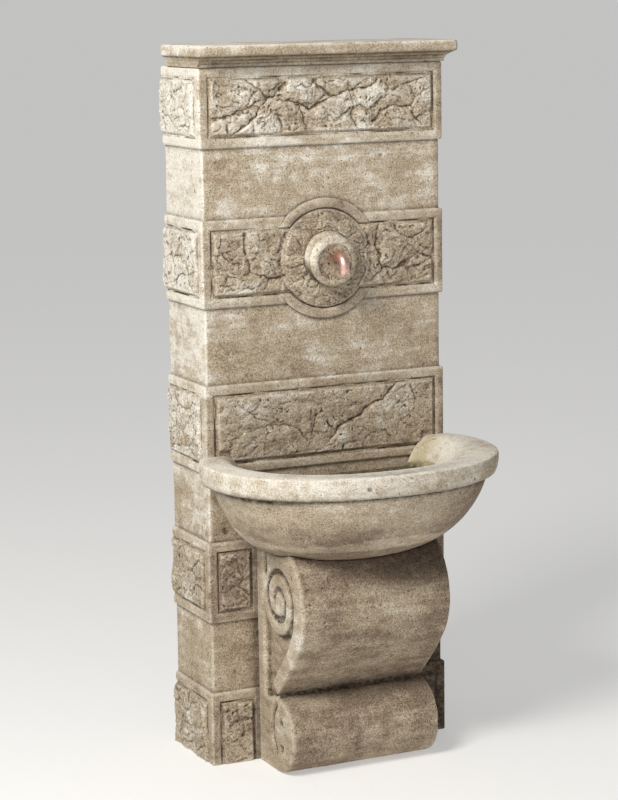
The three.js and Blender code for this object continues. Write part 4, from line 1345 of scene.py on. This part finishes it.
class BuildColumn(bpy.types.Operator):
    """Builds the column: its plain shaft, its five bands with rough panels, and the medallion"""

    bl_idname = "fountain.build_column"
    bl_label = "Column"

    def execute(self, context):
        stone = cast_stone("tamped_cast_stone_column")
        finished(build_shaft(), "column", stone)
        for n, (name, z0, z1) in enumerate(BANDS):
            finished(band(n, name, z0, z1), "column", stone)
        finished(build_medallion(), "column", stone)
        return {"FINISHED"}


class BuildCoping(bpy.types.Operator):
    """Builds the moulded coping"""

    bl_idname = "fountain.build_coping"
    bl_label = "Coping"

    def execute(self, context):
        finished(build_coping(), "coping", cast_stone("tamped_cast_stone_coping", 11.0))
        return {"FINISHED"}


class BuildBasin(bpy.types.Operator):
    """Builds the hollow basin with its rounded rim"""

    bl_idname = "fountain.build_basin"
    bl_label = "Basin"

    def execute(self, context):
        stone = cast_stone("tamped_cast_stone_basin", 8.0, green=True, grit=0.7, clean=0.6)
        finished(build_basin(), "basin", stone)
        return {"FINISHED"}


class BuildConsole(bpy.types.Operator):
    """Builds the scrolled console with its volutes and lower roll"""

    bl_idname = "fountain.build_console"
    bl_label = "Console"

    def execute(self, context):
        stone = cast_stone("tamped_cast_stone_console", 9.0, grit=1.3)
        finished(build_console(), "console", stone)
        return {"FINISHED"}


class BuildSpout(bpy.types.Operator):
    """Builds the copper elbow"""

    bl_idname = "fountain.build_spout"
    bl_label = "Spout"

    def execute(self, context):
        finished(build_spout(), "spout", drawn_copper(), 40)
        return {"FINISHED"}


class BuildStage(bpy.types.Operator):
    """Lays the floor and sets the lights and the camera"""

    bl_idname = "fountain.build_stage"
    bl_label = "Stage"

    def execute(self, context):
        bpy.ops.object.select_all(action="DESELECT")
        bpy.ops.mesh.primitive_plane_add(size=FLOOR_SIZE, location=(0, 0, 0))
        floor = context.object
        floor.name = "studio_floor"
        floor.data.materials.append(light_table())
        light_up(context.scene)
        set_camera(context.scene)
        return {"FINISHED"}


GROUPS = {
    "column": ColumnSizes,
    "medallion": MedallionSizes,
    "coping": CopingSizes,
    "basin": BasinSizes,
    "console": ConsoleSizes,
    "spout": SpoutSizes,
    "finishes": Finishes,
}
OPERATORS = (BuildColumn, BuildCoping, BuildBasin, BuildConsole, BuildSpout, BuildStage)


class FountainPanel(bpy.types.Panel):
    """Sizes, finishes and the buttons that build each piece"""

    bl_idname = "VIEW3D_PT_fountain"
    bl_label = "Wall fountain"
    bl_space_type = "VIEW_3D"
    bl_region_type = "UI"
    bl_category = "Fountain"

    def draw(self, context):
        for name, group in GROUPS.items():
            box = self.layout.box()
            box.label(text=name.title())
            for key in group.__annotations__:
                box.prop(props(name), key)
        for operator in OPERATORS:
            self.layout.operator(operator.bl_idname)


CLASSES = (*GROUPS.values(), *OPERATORS, FountainPanel)


def register():
    for cls in CLASSES:
        bpy.utils.register_class(cls)
    for name, group in GROUPS.items():
        setattr(bpy.types.Scene, "fountain_" + name, PointerProperty(type=group))


def unregister():
    for name in GROUPS:
        delattr(bpy.types.Scene, "fountain_" + name)
    for cls in reversed(CLASSES):
        bpy.utils.unregister_class(cls)


def main():
    register()
    bpy.ops.fountain.build_column()
    bpy.ops.fountain.build_coping()
    bpy.ops.fountain.build_basin()
    bpy.ops.fountain.build_console()
    bpy.ops.fountain.build_spout()
    bpy.ops.fountain.build_stage()


if __name__ == "__main__":
    main()
